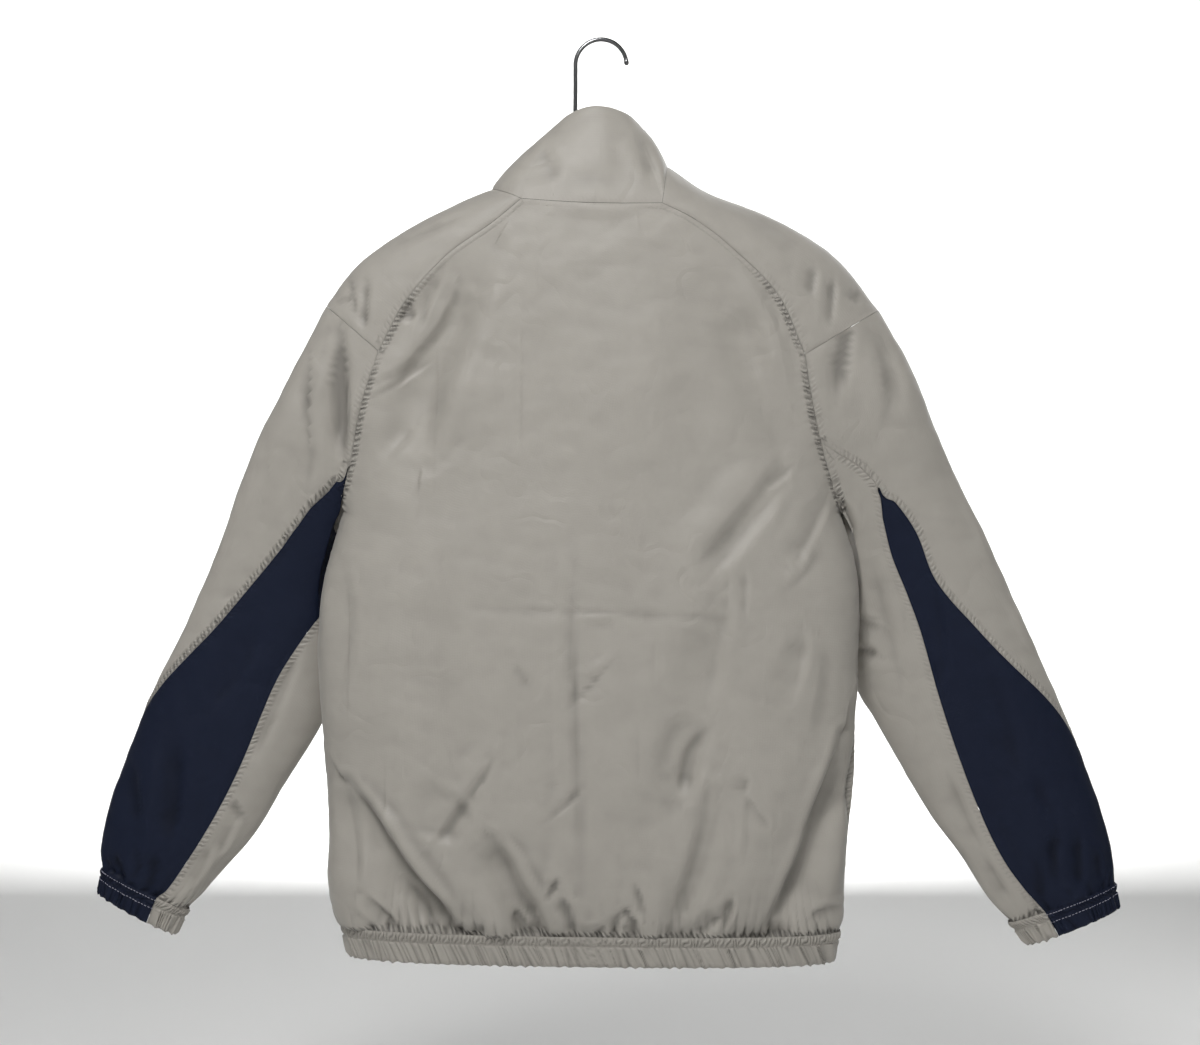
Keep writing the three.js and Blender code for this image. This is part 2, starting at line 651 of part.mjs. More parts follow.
for (const name of Object.keys(panels)) panels[name] = faceOut(panels[name], INSIDE[name]);

// Normals, shared where panels meet at a seam, so that their walls end on one mitre.
const placeKey = (p) => `${Math.round(p.x * 20)},${Math.round(p.y * 20)},${Math.round(p.z * 20)}`;
const normalSums = new Map();
for (const rows of Object.values(panels)) {
  for (let i = 0; i + 1 < rows.length; i += 1) {
    for (let j = 0; j + 1 < rows[0].length; j += 1) {
      const corners = [rows[i][j], rows[i][j + 1], rows[i + 1][j + 1], rows[i + 1][j]];
      const face = corners[2].clone().sub(corners[0]).cross(corners[3].clone().sub(corners[1]));
      face.normalize();
      for (const p of corners) {
        const key = placeKey(p);
        if (!normalSums.has(key)) normalSums.set(key, point(0, 0, 0));
        normalSums.get(key).add(face);
      }
    }
  }
}
const normalAt = (p) => normalSums.get(placeKey(p)).clone().normalize();

// A closed geometry from an outer and an inner grid of points, joined round their edges.
function shell(outer, inner) {
  const rows = outer.length;
  const columns = outer[0].length;
  const places = [...outer.flat(), ...inner.flat()];
  const half = rows * columns;
  const at = (i, j) => i * columns + j;
  const faces = [];
  const quad = (a, b, c, d) => faces.push(a, b, c, a, c, d);
  for (let i = 0; i + 1 < rows; i += 1) {
    for (let j = 0; j + 1 < columns; j += 1) {
      quad(at(i, j), at(i, j + 1), at(i + 1, j + 1), at(i + 1, j));
      quad(half + at(i, j), half + at(i + 1, j), half + at(i + 1, j + 1), half + at(i, j + 1));
    }
  }
  const rim = [];
  for (let j = 0; j + 1 < columns; j += 1) rim.push([at(0, j + 1), at(0, j)]);
  for (let i = 0; i + 1 < rows; i += 1) rim.push([at(i, 0), at(i + 1, 0)]);
  for (let j = 0; j + 1 < columns; j += 1) rim.push([at(rows - 1, j), at(rows - 1, j + 1)]);
  for (let i = 0; i + 1 < rows; i += 1) rim.push([at(i + 1, columns - 1), at(i, columns - 1)]);
  // A rim's diagonals start at its lower corners, so that two panels meet alike at a seam.
  for (const [a, b] of rim) {
    if (places[a].z - places[b].z + (places[a].x - places[b].x) * 0.01 < 0) {
      faces.push(a, b, half + b, a, half + b, half + a);
    } else {
      faces.push(a, b, half + a, b, half + b, half + a);
    }
  }
  const geometry = new THREE.BufferGeometry();
  const positions = places.flatMap((p) => [p.x, p.y, p.z]);
  geometry.setAttribute("position", new THREE.Float32BufferAttribute(positions, 3));
  geometry.setIndex(faces);
  return geometry;
}

// A panel as a wall of cloth, stopped just short of its seams.
function panelGeometry(rows) {
  const lastRow = rows.length - 1;
  const lastColumn = rows[0].length - 1;
  const inner = [];
  const outer = rows.map((row, i) => {
    inner.push([]);
    return row.map((p, j) => {
      const pull = point(0, 0, 0);
      const towards = (q) => pull.add(q.clone().sub(p).setLength(SEAM_PULL));
      if (i === 0) towards(rows[1][j]);
      if (i === lastRow) towards(rows[lastRow - 1][j]);
      if (j === 0) towards(row[1]);
      if (j === lastColumn) towards(row[lastColumn - 1]);
      const moved = p.clone().add(pull);
      inner[i].push(moved.clone().addScaledVector(normalAt(p), -CLOTH));
      return moved;
    });
  });
  return shell(outer, inner);
}

// A gathered band: places(t, down) gives a point of its plain form and the way out from it.
function bandGeometry(place, gathers, height, mirrored = false) {
  const columns = gathers * GATHER_POINTS;
  const outer = [[], []];
  const inner = [[], []];
  for (let j = 0; j <= columns; j += 1) {
    const t = j / columns;
    const phase = (j % GATHER_POINTS) / GATHER_POINTS;
    const uneven = 0.75 + 0.25 * Math.sin(j * 1.7);
    const wave = GATHER_DEPTH * uneven * (0.5 - 0.5 * Math.cos(2 * Math.PI * phase));
    [height, SKIRT_GAP].forEach((down, i) => {
      const { p, out } = place(t, down);
      outer[i].push(p.clone().addScaledVector(out, wave));
      inner[i].push(p.clone().addScaledVector(out, -BAND_WALL));
    });
  }
  const turned = (rows) => (mirrored ? rows.map((row) => row.reverse()) : rows);
  return shell(turned(outer), turned(inner));
}

// The elastic hem, from one side of the zip round the back to the other.
function hemPlace(t, down) {
  const z = HEM_SEAM_Z - down;
  const ring = (share) => {
    const turn = share * 2;
    const side = turn < 0.5 || turn > 1.5 ? "front" : "back";
    const fromZip = turn < 1 ? 0.5 - turn : 2.5 - turn;
    return levelSection(z, side === "front" ? fromZip : turn - 0.5, side);
  };
  const margin = FRONT_EDGE / (2 * Math.PI * 190);
  const share = mix(margin, 1 - margin, t);
  const p = ring(share);
  const ahead = ring(Math.min(1, share + 0.002)).sub(ring(Math.max(0, share - 0.002)));
  p.z = z + HEM_TILT * (p.x - CENTRE_X);
  return { p, out: point(ahead.y, -ahead.x, 0).normalize() };
}

// A cuff band between two turns of its sleeve.
function cuffPlace(side, from, to) {
  const rows = SLEEVE[side];
  const a = rows[CUFF_SECTION - 1];
  const b = rows[CUFF_SECTION];
  const middle = (row) => [mix(row.outX, row.inX, 0.5), mix(row.outZ, row.inZ, 0.5)];
  const length = Math.hypot(middle(a)[0] - middle(b)[0], middle(a)[1] - middle(b)[1]);
  return (t, down) => {
    const s = down / length;
    const row = {};
    for (const name of Object.keys(a)) row[name] = mix(a[name], b[name], s);
    const turn = THREE.MathUtils.degToRad(mix(from, to, t));
    const c = Math.cos(turn);
    const sn = Math.sin(turn);
    const power = 2 / SLEEVE_FULLNESS;
    const along = Math.sign(c) * Math.abs(c) ** power;
    const bulge = Math.sign(sn) * Math.abs(sn) ** power;
    const share = (1 - along) / 2;
    const p = point(
      mix(row.outX, row.inX, share),
      mix(row.outY, row.inY, share) - row.half * bulge,
      mix(row.outZ, row.inZ, share),
    );
    const across = point(row.outX - row.inX, 0, row.outZ - row.inZ);
    const half = across.length() / 2;
    const out = across.normalize().multiplyScalar((row.half * c) / half);
    out.y = -sn;
    return { p, out: out.normalize() };
  };
}

// A closed tube through rings of points, with flat ends.
function loft(rings) {
  const count = rings[0].length;
  const places = [...rings.flat()];
  const faces = [];
  for (let i = 0; i + 1 < rings.length; i += 1) {
    for (let j = 0; j < count; j += 1) {
      const k = (j + 1) % count;
      faces.push(i * count + j, i * count + k, (i + 1) * count + k);
      faces.push(i * count + j, (i + 1) * count + k, (i + 1) * count + j);
    }
  }
  const last = (rings.length - 1) * count;
  for (let j = 1; j + 1 < count; j += 1) {
    faces.push(0, j + 1, j);
    faces.push(last, last + j, last + j + 1);
  }
  const geometry = new THREE.BufferGeometry();
  const positions = places.flatMap((p) => [p.x, p.y, p.z]);
  geometry.setAttribute("position", new THREE.Float32BufferAttribute(positions, 3));
  geometry.setIndex(faces);
  return geometry;
}

// The line that the zip follows: down the edges of the collar, the front and the hem.
function zipLine() {
  const fromZip = (p) => Math.abs(p.x - ZIP_X);
  const collarEdge = panels.collar.map((row) => row.reduce((a, b) => (b.y > a.y ? b : a)));
  const nearest = (row) => row.reduce((a, b) => (fromZip(b) < fromZip(a) ? b : a));
  const frontEdge = panels.front_right.map(nearest);
  const hem = point(ZIP_X, body.front(HEM_SEAM_Z - HEM_HEIGHT), HEM_SEAM_Z - HEM_HEIGHT + 1);
  const line = [hem, ...frontEdge, ...collarEdge.slice(1)];
  return line.map((p) => ({ y: p.y, z: p.z }));
}

// A strip along the zip's line, from one x to another, at a depth behind the cloth's face.
function zipStrip(fromX, toX, depth, wall, fromDroop = 0, toDroop = 0) {
  const line = zipLine();
  const rings = line.map((p, i) => {
    const a = line[Math.max(0, i - 1)];
    const b = line[Math.min(line.length - 1, i + 1)];
    const length = Math.hypot(b.y - a.y, b.z - a.z);
    const inY = -(b.z - a.z) / length;
    const inZ = (b.y - a.y) / length;
    const corner = (x, d) => point(x, p.y + inY * d, p.z + inZ * d);
    return [
      corner(fromX, depth + wall + fromDroop),
      corner(toX, depth + wall + toDroop),
      corner(toX, depth + toDroop),
      corner(fromX, depth + fromDroop),
    ];
  });
  return loft(rings);
}

// The hanger's bar, under the tops of both shoulders.
function hangerGeometry() {
  const side = (name) => {
    return [5, 4, 3, 2].map((i) => curves[name].shoulder(0, i / RAGLAN_ROWS));
  };
  const lower = CLOTH + SEAT_GAP + HANGER.tall / 2;
  const under = (p, i, all) => {
    const q = all[Math.max(0, i - 1)];
    const r = all[Math.min(all.length - 1, i + 1)];
    const slope = Math.hypot(r.x - q.x, r.z - q.z) / Math.abs(r.x - q.x);
    return point(p.x, p.y, p.z - lower * slope);
  };
  const left = side("left").map(under);
  const right = side("right").map(under);
  const hub = point(HANGER.hubX, 3, HANGER.hubZ);
  const line = [...left, hub, ...right.reverse()];
  const rings = line.map((p, i) => {
    const a = line[Math.max(0, i - 1)];
    const b = line[Math.min(line.length - 1, i + 1)];
    const along = b.clone().sub(a).normalize();
    const up = point(-along.z, 0, along.x);
    const end = Math.min(i, line.length - 1 - i) === 0 ? 0.6 : 1;
    return Array.from({ length: HANGER.sides }, (_, k) => {
      const turn = (k / HANGER.sides) * 2 * Math.PI;
      const wide = (HANGER.wide / 2) * Math.cos(turn) * end;
      const tall = (HANGER.tall / 2) * Math.sin(turn) * end;
      return point(p.x + up.x * tall, p.y + wide, p.z + up.z * tall);
    });
  });
  return loft(rings);
}

// The hook: a round wire from the bar's middle up, over the top and down to its free end.
function hookGeometry() {
  const r = HOOK.radius;
  const middleZ = HOOK.wire / 2 - r;
  const line = [
    point(HANGER.hubX, 3, HANGER.hubZ + HANGER.tall / 2 + 0.3),
    point(HANGER.hubX, 3, HANGER.hubZ + HANGER.tall / 2 + 12),
    point(mix(HANGER.hubX, HOOK.shankX, 0.35), 2, HANGER.hubZ + HANGER.tall / 2 + 22),
    point(mix(HANGER.hubX, HOOK.shankX, 0.8), 1, HANGER.hubZ + HANGER.tall / 2 + 33),
    point(HOOK.shankX, 0, HANGER.hubZ + HANGER.tall / 2 + 46),
    point(HOOK.shankX, 0, middleZ - 20),
  ];
  const steps = 14;
  for (let i = 0; i <= steps; i += 1) {
    const turn = Math.PI * (1 - i / steps);
    line.push(point(HOOK.middleX + r * Math.cos(turn), 0, middleZ + r * Math.sin(turn)));
  }
  const rings = line.map((p, i) => {
    const a = line[Math.max(0, i - 1)];
    const b = line[Math.min(line.length - 1, i + 1)];
    const along = b.clone().sub(a).normalize();
    const side = point(0, 1, 0).cross(along).normalize();
    const other = along.clone().cross(side);
    return Array.from({ length: HOOK.sides }, (_, k) => {
      const turn = (k / HOOK.sides) * 2 * Math.PI;
      return p.clone()
        .addScaledVector(side, (HOOK.wire / 2) * Math.cos(turn))
        .addScaledVector(other, (HOOK.wire / 2) * Math.sin(turn));
    });
  });
  return loft(rings);
}

const wasm = await Module();
wasm.setup();

function solid(geometry) {
  geometry.deleteAttribute("normal");
  geometry.deleteAttribute("uv");
  const merged = mergeVertices(geometry);
  return new wasm.Manifold(new wasm.Mesh({
    numProp: 3,
    vertProperties: new Float32Array(merged.attributes.position.array),
    triVerts: new Uint32Array(merged.index.array),
  }));
}
const box = (x0, x1, y0, y1, z0, z1) => {
  const block = new THREE.BoxGeometry(x1 - x0, y1 - y0, z1 - z0);
  return solid(block.translate((x0 + x1) / 2, (y0 + y1) / 2, (z0 + z1) / 2));
};
const rod = (radius, fromX, toX, y, z) => {
  const upright = new THREE.CylinderGeometry(radius, radius, toX - fromX, 20);
  return solid(upright.rotateZ(Math.PI / 2).translate((fromX + toX) / 2, y, z));
};

function solidGeometry(joined) {
  const mesh = joined.getMesh();
  const geometry = new THREE.BufferGeometry();
  const positions = new Float32Array(mesh.numVert * 3);
  for (let i = 0; i < mesh.numVert; i += 1) {
    for (let k = 0; k < 3; k += 1) positions[3 * i + k] = mesh.vertProperties[mesh.numProp * i + k];
  }
  geometry.setAttribute("position", new THREE.BufferAttribute(positions, 3));
  geometry.setIndex([...mesh.triVerts]);
  return geometry;
}

// The slider and its pull, with x from the zip's middle, y from the front's face and z from the pin.
function sliderSolid() {
  const ear = (x0, x1) => rod(SLIDER.earRadius, x0, x1, SLIDER.face + PIN.standoff, 0)
    .add(box(x0, x1, SLIDER.face - 0.5, SLIDER.face + PIN.standoff, -SLIDER.earRadius, SLIDER.earRadius));
  const half = { x: SLIDER.wide / 2, z: SLIDER.tall / 2 };
  return box(-half.x, half.x, -SLIDER.back, SLIDER.face, -half.z, half.z)
    .add(ear(-SLIDER.earTo, -SLIDER.earFrom))
    .add(ear(SLIDER.earFrom, SLIDER.earTo))
    .add(rod(PIN.radius, -SLIDER.earTo + 0.2, SLIDER.earTo - 0.2, SLIDER.face + PIN.standoff, 0));
}
function pullSolid() {
  const y = SLIDER.face + PIN.standoff;
  const half = PULL.thick / 2;
  return rod(PULL.eye, -PULL.neck / 2, PULL.neck / 2, y, 0)
    .add(box(-PULL.neck / 2, PULL.neck / 2, y - half, y + half, -PULL.neckLong, 0))
    .add(box(-PULL.wide / 2, PULL.wide / 2, y - half, y + half, -PULL.long, -PULL.neckLong + 0.5))
    .subtract(rod(PULL.hole, -PULL.neck, PULL.neck, y, 0));
}

const jacket = new THREE.Group();
function add(name, geometry, material) {
  const mesh = new THREE.Mesh(geometry, material);
  mesh.name = name;
  jacket.add(mesh);
  return mesh;
}

for (const [name, rows] of Object.entries(panels)) {
  add(name, panelGeometry(rows), cloth(name.includes("insert") ? NAVY : GREY));
}
add("hem_band", bandGeometry(hemPlace, HEM_GATHERS, HEM_HEIGHT), cloth(GREY));
for (const side of ["left", "right"]) {
  const turn = seamTurns(side)(CUFF_SECTION);
  const whole = 360;
  const navyGathers = Math.round(CUFF_GATHERS * (turn.lower - turn.upper) / whole);
  const gap = 0.6; // degrees
  const mirrored = side === "right";
  add(
    `cuff_navy_${side}`,
    bandGeometry(cuffPlace(side, turn.upper + gap, turn.lower - gap), navyGathers, CUFF_HEIGHT, mirrored),
    cloth(NAVY),
  );
  const greyPlace = cuffPlace(side, turn.lower + gap, turn.upper + whole - gap);
  add(
    `cuff_grey_${side}`,
    bandGeometry(greyPlace, CUFF_GATHERS - navyGathers, CUFF_HEIGHT, mirrored),
    cloth(GREY),
  );
}
const tapeDepth = CLOTH + ZIP_CLEAR;
const tapeStart = ZIP_HALF_CHAIN + ZIP_CLEAR;
const tapeFrom = ZIP_X - ZIP_TAPE_REACH;
const tapeTo = ZIP_X + ZIP_TAPE_REACH;
const leftTape = zipStrip(tapeFrom, ZIP_X - tapeStart, tapeDepth, ZIP_TAPE_WALL, ZIP_DROOP, 0);
const rightTape = zipStrip(ZIP_X + tapeStart, tapeTo, tapeDepth, ZIP_TAPE_WALL, 0, ZIP_DROOP);
const chainDepth = tapeDepth - ZIP_CHAIN_WALL / 2;
const chain = zipStrip(ZIP_X - ZIP_HALF_CHAIN, ZIP_X + ZIP_HALF_CHAIN, chainDepth, ZIP_CHAIN_WALL);
add("zip_tape_left", leftTape, cloth(ZIP_GREY));
add("zip_tape_right", rightTape, cloth(ZIP_GREY));
add("zip_chain", chain, metal(ZIP_GREY));
const zipTop = zipLine().pop();
const pinPlace = [ZIP_X, zipTop.y, zipTop.z - SLIDER.below];
add("zip_slider", solidGeometry(sliderSolid().translate(pinPlace)), metal(METAL));
add("zip_pull", solidGeometry(pullSolid().translate(pinPlace)), metal(METAL));
add("hanger_bar", hangerGeometry(), cloth(PLASTIC));
add("hanger_hook", hookGeometry(), metal(METAL));

export default jacket;
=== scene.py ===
"""A windbreaker jacket on a hanger, seen from behind, dressed for a studio picture.

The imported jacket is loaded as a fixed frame. Thin cloth is laid over each panel with its creases,
gathers, puckered seams and stitches, and the zip and the hanger get their fine form. Sizes are in
millimetres unless a name says otherwise. +Z is up, and the jacket's back faces -Y. The origin is
the inside top of the hanger's hook.
"""

from __future__ import annotations

import logging
import math
from dataclasses import dataclass, field
from enum import Enum

import bpy
import numpy as np
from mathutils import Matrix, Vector
from mathutils.kdtree import KDTree

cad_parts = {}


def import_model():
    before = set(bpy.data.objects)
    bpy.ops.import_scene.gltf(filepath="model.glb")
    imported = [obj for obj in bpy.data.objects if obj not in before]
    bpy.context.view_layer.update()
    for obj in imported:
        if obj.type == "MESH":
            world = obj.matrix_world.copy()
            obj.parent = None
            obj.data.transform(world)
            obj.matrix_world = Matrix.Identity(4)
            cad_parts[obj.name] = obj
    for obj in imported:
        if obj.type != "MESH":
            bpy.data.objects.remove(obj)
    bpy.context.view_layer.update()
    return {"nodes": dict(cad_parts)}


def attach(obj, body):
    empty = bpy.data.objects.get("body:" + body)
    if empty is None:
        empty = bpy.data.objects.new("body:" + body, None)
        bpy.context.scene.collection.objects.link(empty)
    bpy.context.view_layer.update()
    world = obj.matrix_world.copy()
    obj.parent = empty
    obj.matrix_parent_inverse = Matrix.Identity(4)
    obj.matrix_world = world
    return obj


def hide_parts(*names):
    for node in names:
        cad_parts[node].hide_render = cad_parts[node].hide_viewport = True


Array = np.ndarray
Colour = tuple[float, float, float]
Socket = bpy.types.NodeSocket

LOG = logging.getLogger("jacket")
BODY_NAME = "jacket"
METRE = 0.001  # one millimetre in metres

CLOTH = 1.4  # wall of a panel, with its seam allowances
SEAM_PULL = 0.18  # each panel stops this short of the seam line
CENTRE_X = -9.0
HEM_SEAM_Z = -816.0
HEM_HEIGHT = 25.0
HEM_TILT = -0.012
BAND_START = -2.4  # the casings' ropes of gathers begin this far above their seams
CUFF_HEIGHT = 22.0
CUFF_ROUND = 250.0  # the way round a cuff, about
BAND_WALL = 1.2
STITCH_PITCH, STITCH_LONG = 3.4, 2.6
UNDERARM_Z = -432.0
NECK_FRONT_Z = -205.0
ZIP_X = -8.0
FRONT_EDGE = 4.4
SLEEVE_FULLNESS = 2.2
SLEEVE_CLEAR = 4.6
NAVY_TIP = {"left": 0.0625, "right": 1.5}
CUFF_SECTION = 11
ARMHOLE_SEAM_TURN = 120.0
FORE_SEAM_TURN = 220.0

# The solids' rows and columns, and how many finer steps each of theirs has here
SIDE_ROWS, SIDE_STEPS = 11, 12
ARMHOLE_ROWS, ARMHOLE_STEPS = 6, 14
RAGLAN_ROWS, RAGLAN_STEPS = 7, 8
ALL_ROWS = SIDE_ROWS + ARMHOLE_ROWS + RAGLAN_ROWS
BACK_COLUMNS = 330
FRONT_COLUMNS = 84
NAVY_COLUMNS = 48
COLLAR_ROWS = 20
SECTION_ROWS = (16, 14, 14, 14, 14, 14, 14, 14, 10, 6, 8)
BACK_DECAY, FRONT_DECAY = 24, 10  # how fast a seam's own depth gives way to the panel's


@dataclass(frozen=True)
class Table:
    """A short table of sizes with named columns.

    Args:
        names: The columns' names, parted by spaces.
        rows: A tuple of numbers for each section.
    """

    names: str
    rows: tuple[tuple[float, ...], ...]

    def curves(self, over: str | None = None) -> dict[str, Curve]:
        """Makes a smooth curve of each column.

        Args:
            over: The column that the others run over; the row's number if None.

        Returns:
            The curves by the columns' names.
        """
        columns = dict(zip(self.names.split(), zip(*self.rows)))
        knots = columns.pop(over) if over else range(len(self.rows))
        return {name: Curve(knots, values) for name, values in columns.items()}


class Curve:
    """A smooth curve through values at rising knots."""

    def __init__(self, knots: Array, values: Array) -> None:
        """Takes the knots and the values at them."""
        self.knots = np.asarray(list(knots), float)
        self.values = np.asarray(list(values), float)
        count = np.arange(len(self.knots))
        before = np.maximum(count - 1, 0)
        after = np.minimum(count + 1, len(count) - 1)
        rise = self.values[after] - self.values[before]
        self.slopes = rise / (self.knots[after] - self.knots[before])

    def __call__(self, at: Array) -> Array:
        """Gives the curve's value at each place."""
        t = np.clip(np.asarray(at, float), self.knots[0], self.knots[-1])
        i = np.clip(np.searchsorted(self.knots[1:], t, side="left"), 0, len(self.knots) - 2)
        gap = self.knots[i + 1] - self.knots[i]
        s = (t - self.knots[i]) / gap
        ease = s * s * (3 - 2 * s)
        return (
            self.values[i] * (1 - ease)
            + self.values[i + 1] * ease
            + self.slopes[i] * gap * s * (1 - s) ** 2
            + self.slopes[i + 1] * gap * s * s * (s - 1)
        )


# Level sections of the body below the armholes
BODY = Table("z left right back front", (
    (-850, -230, 214, -50, 36),
    (-841, -231, 215, -51, 36),
    (-816, -236, 219, -55, 38),
    (-800, -242, 222, -62, 42),
    (-770, -246, 225, -68, 45),
    (-725, -249, 229, -70, 46),
    (-675, -252, 234, -69, 45),
    (-624, -255, 235, -67, 44),
    (-574, -258, 236, -65, 42),
    (-532, -257, 238, -63, 41),
    (-495, -254, 237, -61, 40),
    (-463, -246, 231, -59, 40),
    (-432, -237, 221, -57, 40),
))
FULLNESS = {"back": 2.6, "front": 2.0}
MIDDLE = {
    "back": Table("z y", ((-432, -57), (-350, -54), (-285, -51), (-220, -47), (-180, -44), (-153, -41))),
    "front": Table("z y", ((-432, 40), (-350, 43), (-285, 47), (-240, 51), (-205, 54))),
}
SIDE = {
    "back": Table("z y", (
        (-850, 0), (-605, 0), (-520, -5), (-432, -15), (-370, -24), (-320, -30), (-287, -31),
    )),
    "front": Table("z y", (
        (-850, 0), (-605, 0), (-520, 6), (-432, 22), (-370, 35), (-320, 41), (-287, 41),
    )),
}

# Armhole seams, by their turn from the shoulder's top over the back
ARMHOLE = {
    "left": Table("turn x y z", (
        (60, -201, -31, -287),
        (90, -217, -30, -336),
        (120, -228, -20, -389),
        (150, -235, -9, -415),
        (180, -237, 5, -432),
        (210, -232, 25, -412),
        (240, -220, 38, -367),
        (270, -209, 42, -325),
        (300, -200, 41, -288),
    )),
    "right": Table("turn x y z", (
        (60, 186, -31, -290),
        (90, 192, -30, -329),
        (120, 201, -22, -368),
        (150, 215, -9, -413),
        (180, 221, 5, -432),
        (210, 216, 25, -410),
        (240, 202, 38, -363),
        (270, 193, 42, -323),
        (300, 184, 41, -288),
    )),
}

# Shoulder saddles from the neck out: the back seam, the top and the front seam
SADDLE = {
    "left": Table("backX backY backZ topX topY topZ frontX frontY frontZ", (
        (-71, -40, -150, -100, 4, -137, -70, 52, -172),
        (-98, -39, -172, -133, 3, -150, -98, 50, -188),
        (-139, -37, -201, -175, 2, -172, -136, 47, -212),
        (-176, -34, -242, -222, 1, -204, -172, 44, -247),
        (-201, -31, -287, -252, 2, -243, -200, 41, -288),
    )),
    "right": Table("backX backY backZ topX topY topZ frontX frontY frontZ", (
        (56, -40, -154, 62, 4, -115, 52, 52, -174),
        (86, -39, -169, 99, 3, -139, 82, 50, -188),
        (118, -37, -193, 153, 2, -160, 120, 47, -211),
        (161, -34, -236, 214, 1, -197, 156, 44, -245),
        (186, -31, -290, 257, 2, -247, 184, 41, -288),
    )),
}

# Sleeve sections from the armhole to the cuff's end; upper, lower and fore are the seams' shares
# of the way from the outer to the inner edge
SLEEVE_NAMES = "outX outZ outY inX inZ inY half upper lower fore"
SLEEVE = {
    "left": Table(SLEEVE_NAMES, (
        (-285, -307, 4, -232, -459, 27, 33, 0.7, 0.97, 0.78),
        (-311, -356, 8, -231, -485, 33, 31, 0.57, 0.975, 0.75),
        (-338, -428, 12, -233, -514, 37, 29, 0.44, 0.93, 0.72),
        (-362, -486, 16, -235, -548, 38, 28, 0.3, 0.78, 0.7),
        (-386, -539, 20, -241, -588, 37, 28, 0.17, 0.67, 0.7),
        (-410, -587, 23, -256, -623, 34, 28, 0.05, 0.66, 0.7),
        (-435, -645, 25, -295, -688, 31, 28, -0.008, 0.71, 0.7),
        (-453, -693, 26, -328, -740, 30, 27, -0.053, 0.72, 0.7),
        (-462, -731, 26, -356, -772, 28, 25, -0.13, 0.73, 0.7),
        (-464, -755, 26, -375, -795, 27, 22, -0.2, 0.71, 0.7),
        (-463, -766, 26, -385, -804, 26, 19, -0.26, 0.67, 0.7),
        (-468, -788, 26, -396, -827, 26, 18, -0.29, 0.65, 0.7),
    )),
    "right": Table(SLEEVE_NAMES, (
        (287, -302, 4, 221, -461, 27, 33, 0.62, 0.62, 0.78),
        (310, -357, 8, 221, -490, 33, 31, 0.48, 0.585, 0.75),
        (333, -408, 12, 219, -521, 37, 29, 0.38, 0.57, 0.72),
        (359, -459, 16, 225, -553, 38, 28, 0.38, 0.56, 0.7),
        (382, -509, 20, 234, -587, 37, 28, 0.29, 0.565, 0.7),
        (408, -566, 23, 257, -627, 34, 28, 0.17, 0.63, 0.7),
        (433, -622, 25, 281, -668, 31, 28, 0.03, 0.685, 0.7),
        (456, -680, 26, 311, -719, 30, 27, -0.012, 0.73, 0.7),
        (472, -728, 26, 343, -762, 28, 25, -0.055, 0.77, 0.7),
        (478, -759, 26, 366, -797, 27, 22, -0.12, 0.73, 0.7),
        (479, -780, 26, 383, -816, 26, 19, -0.18, 0.69, 0.7),
        (484, -806, 26, 401, -840, 26, 18, -0.21, 0.66, 0.7),
    )),
}

# Large soft folds: both ends, half-width and depth
FOLDS = {
    "back": (
        (-238, -682, -122, -822, 22, -7),
        (-212, -700, -96, -800, 26, 4),
        (-104, -725, -40, -826, 20, -6),
        (228, -655, 146, -818, 20, -7),
        (190, -640, 118, -790, 26, 3),
        (100, -540, 68, -705, 26, -4),
        (-120, -235, -176, -360, 24, -5),
        (-95, -300, -190, -420, 26, 3),
        (120, -250, 162, -370, 24, -4),
    ),
    "front": (
        (-215, -660, -130, -820, 24, -6),
        (-110, -700, -70, -822, 20, -5),
        (190, -670, 120, -820, 24, -6),
        (95, -560, 62, -740, 24, -4),
        (-110, -250, -165, -380, 24, -4),
        (100, -250, 150, -380, 24, -4),
    ),
}


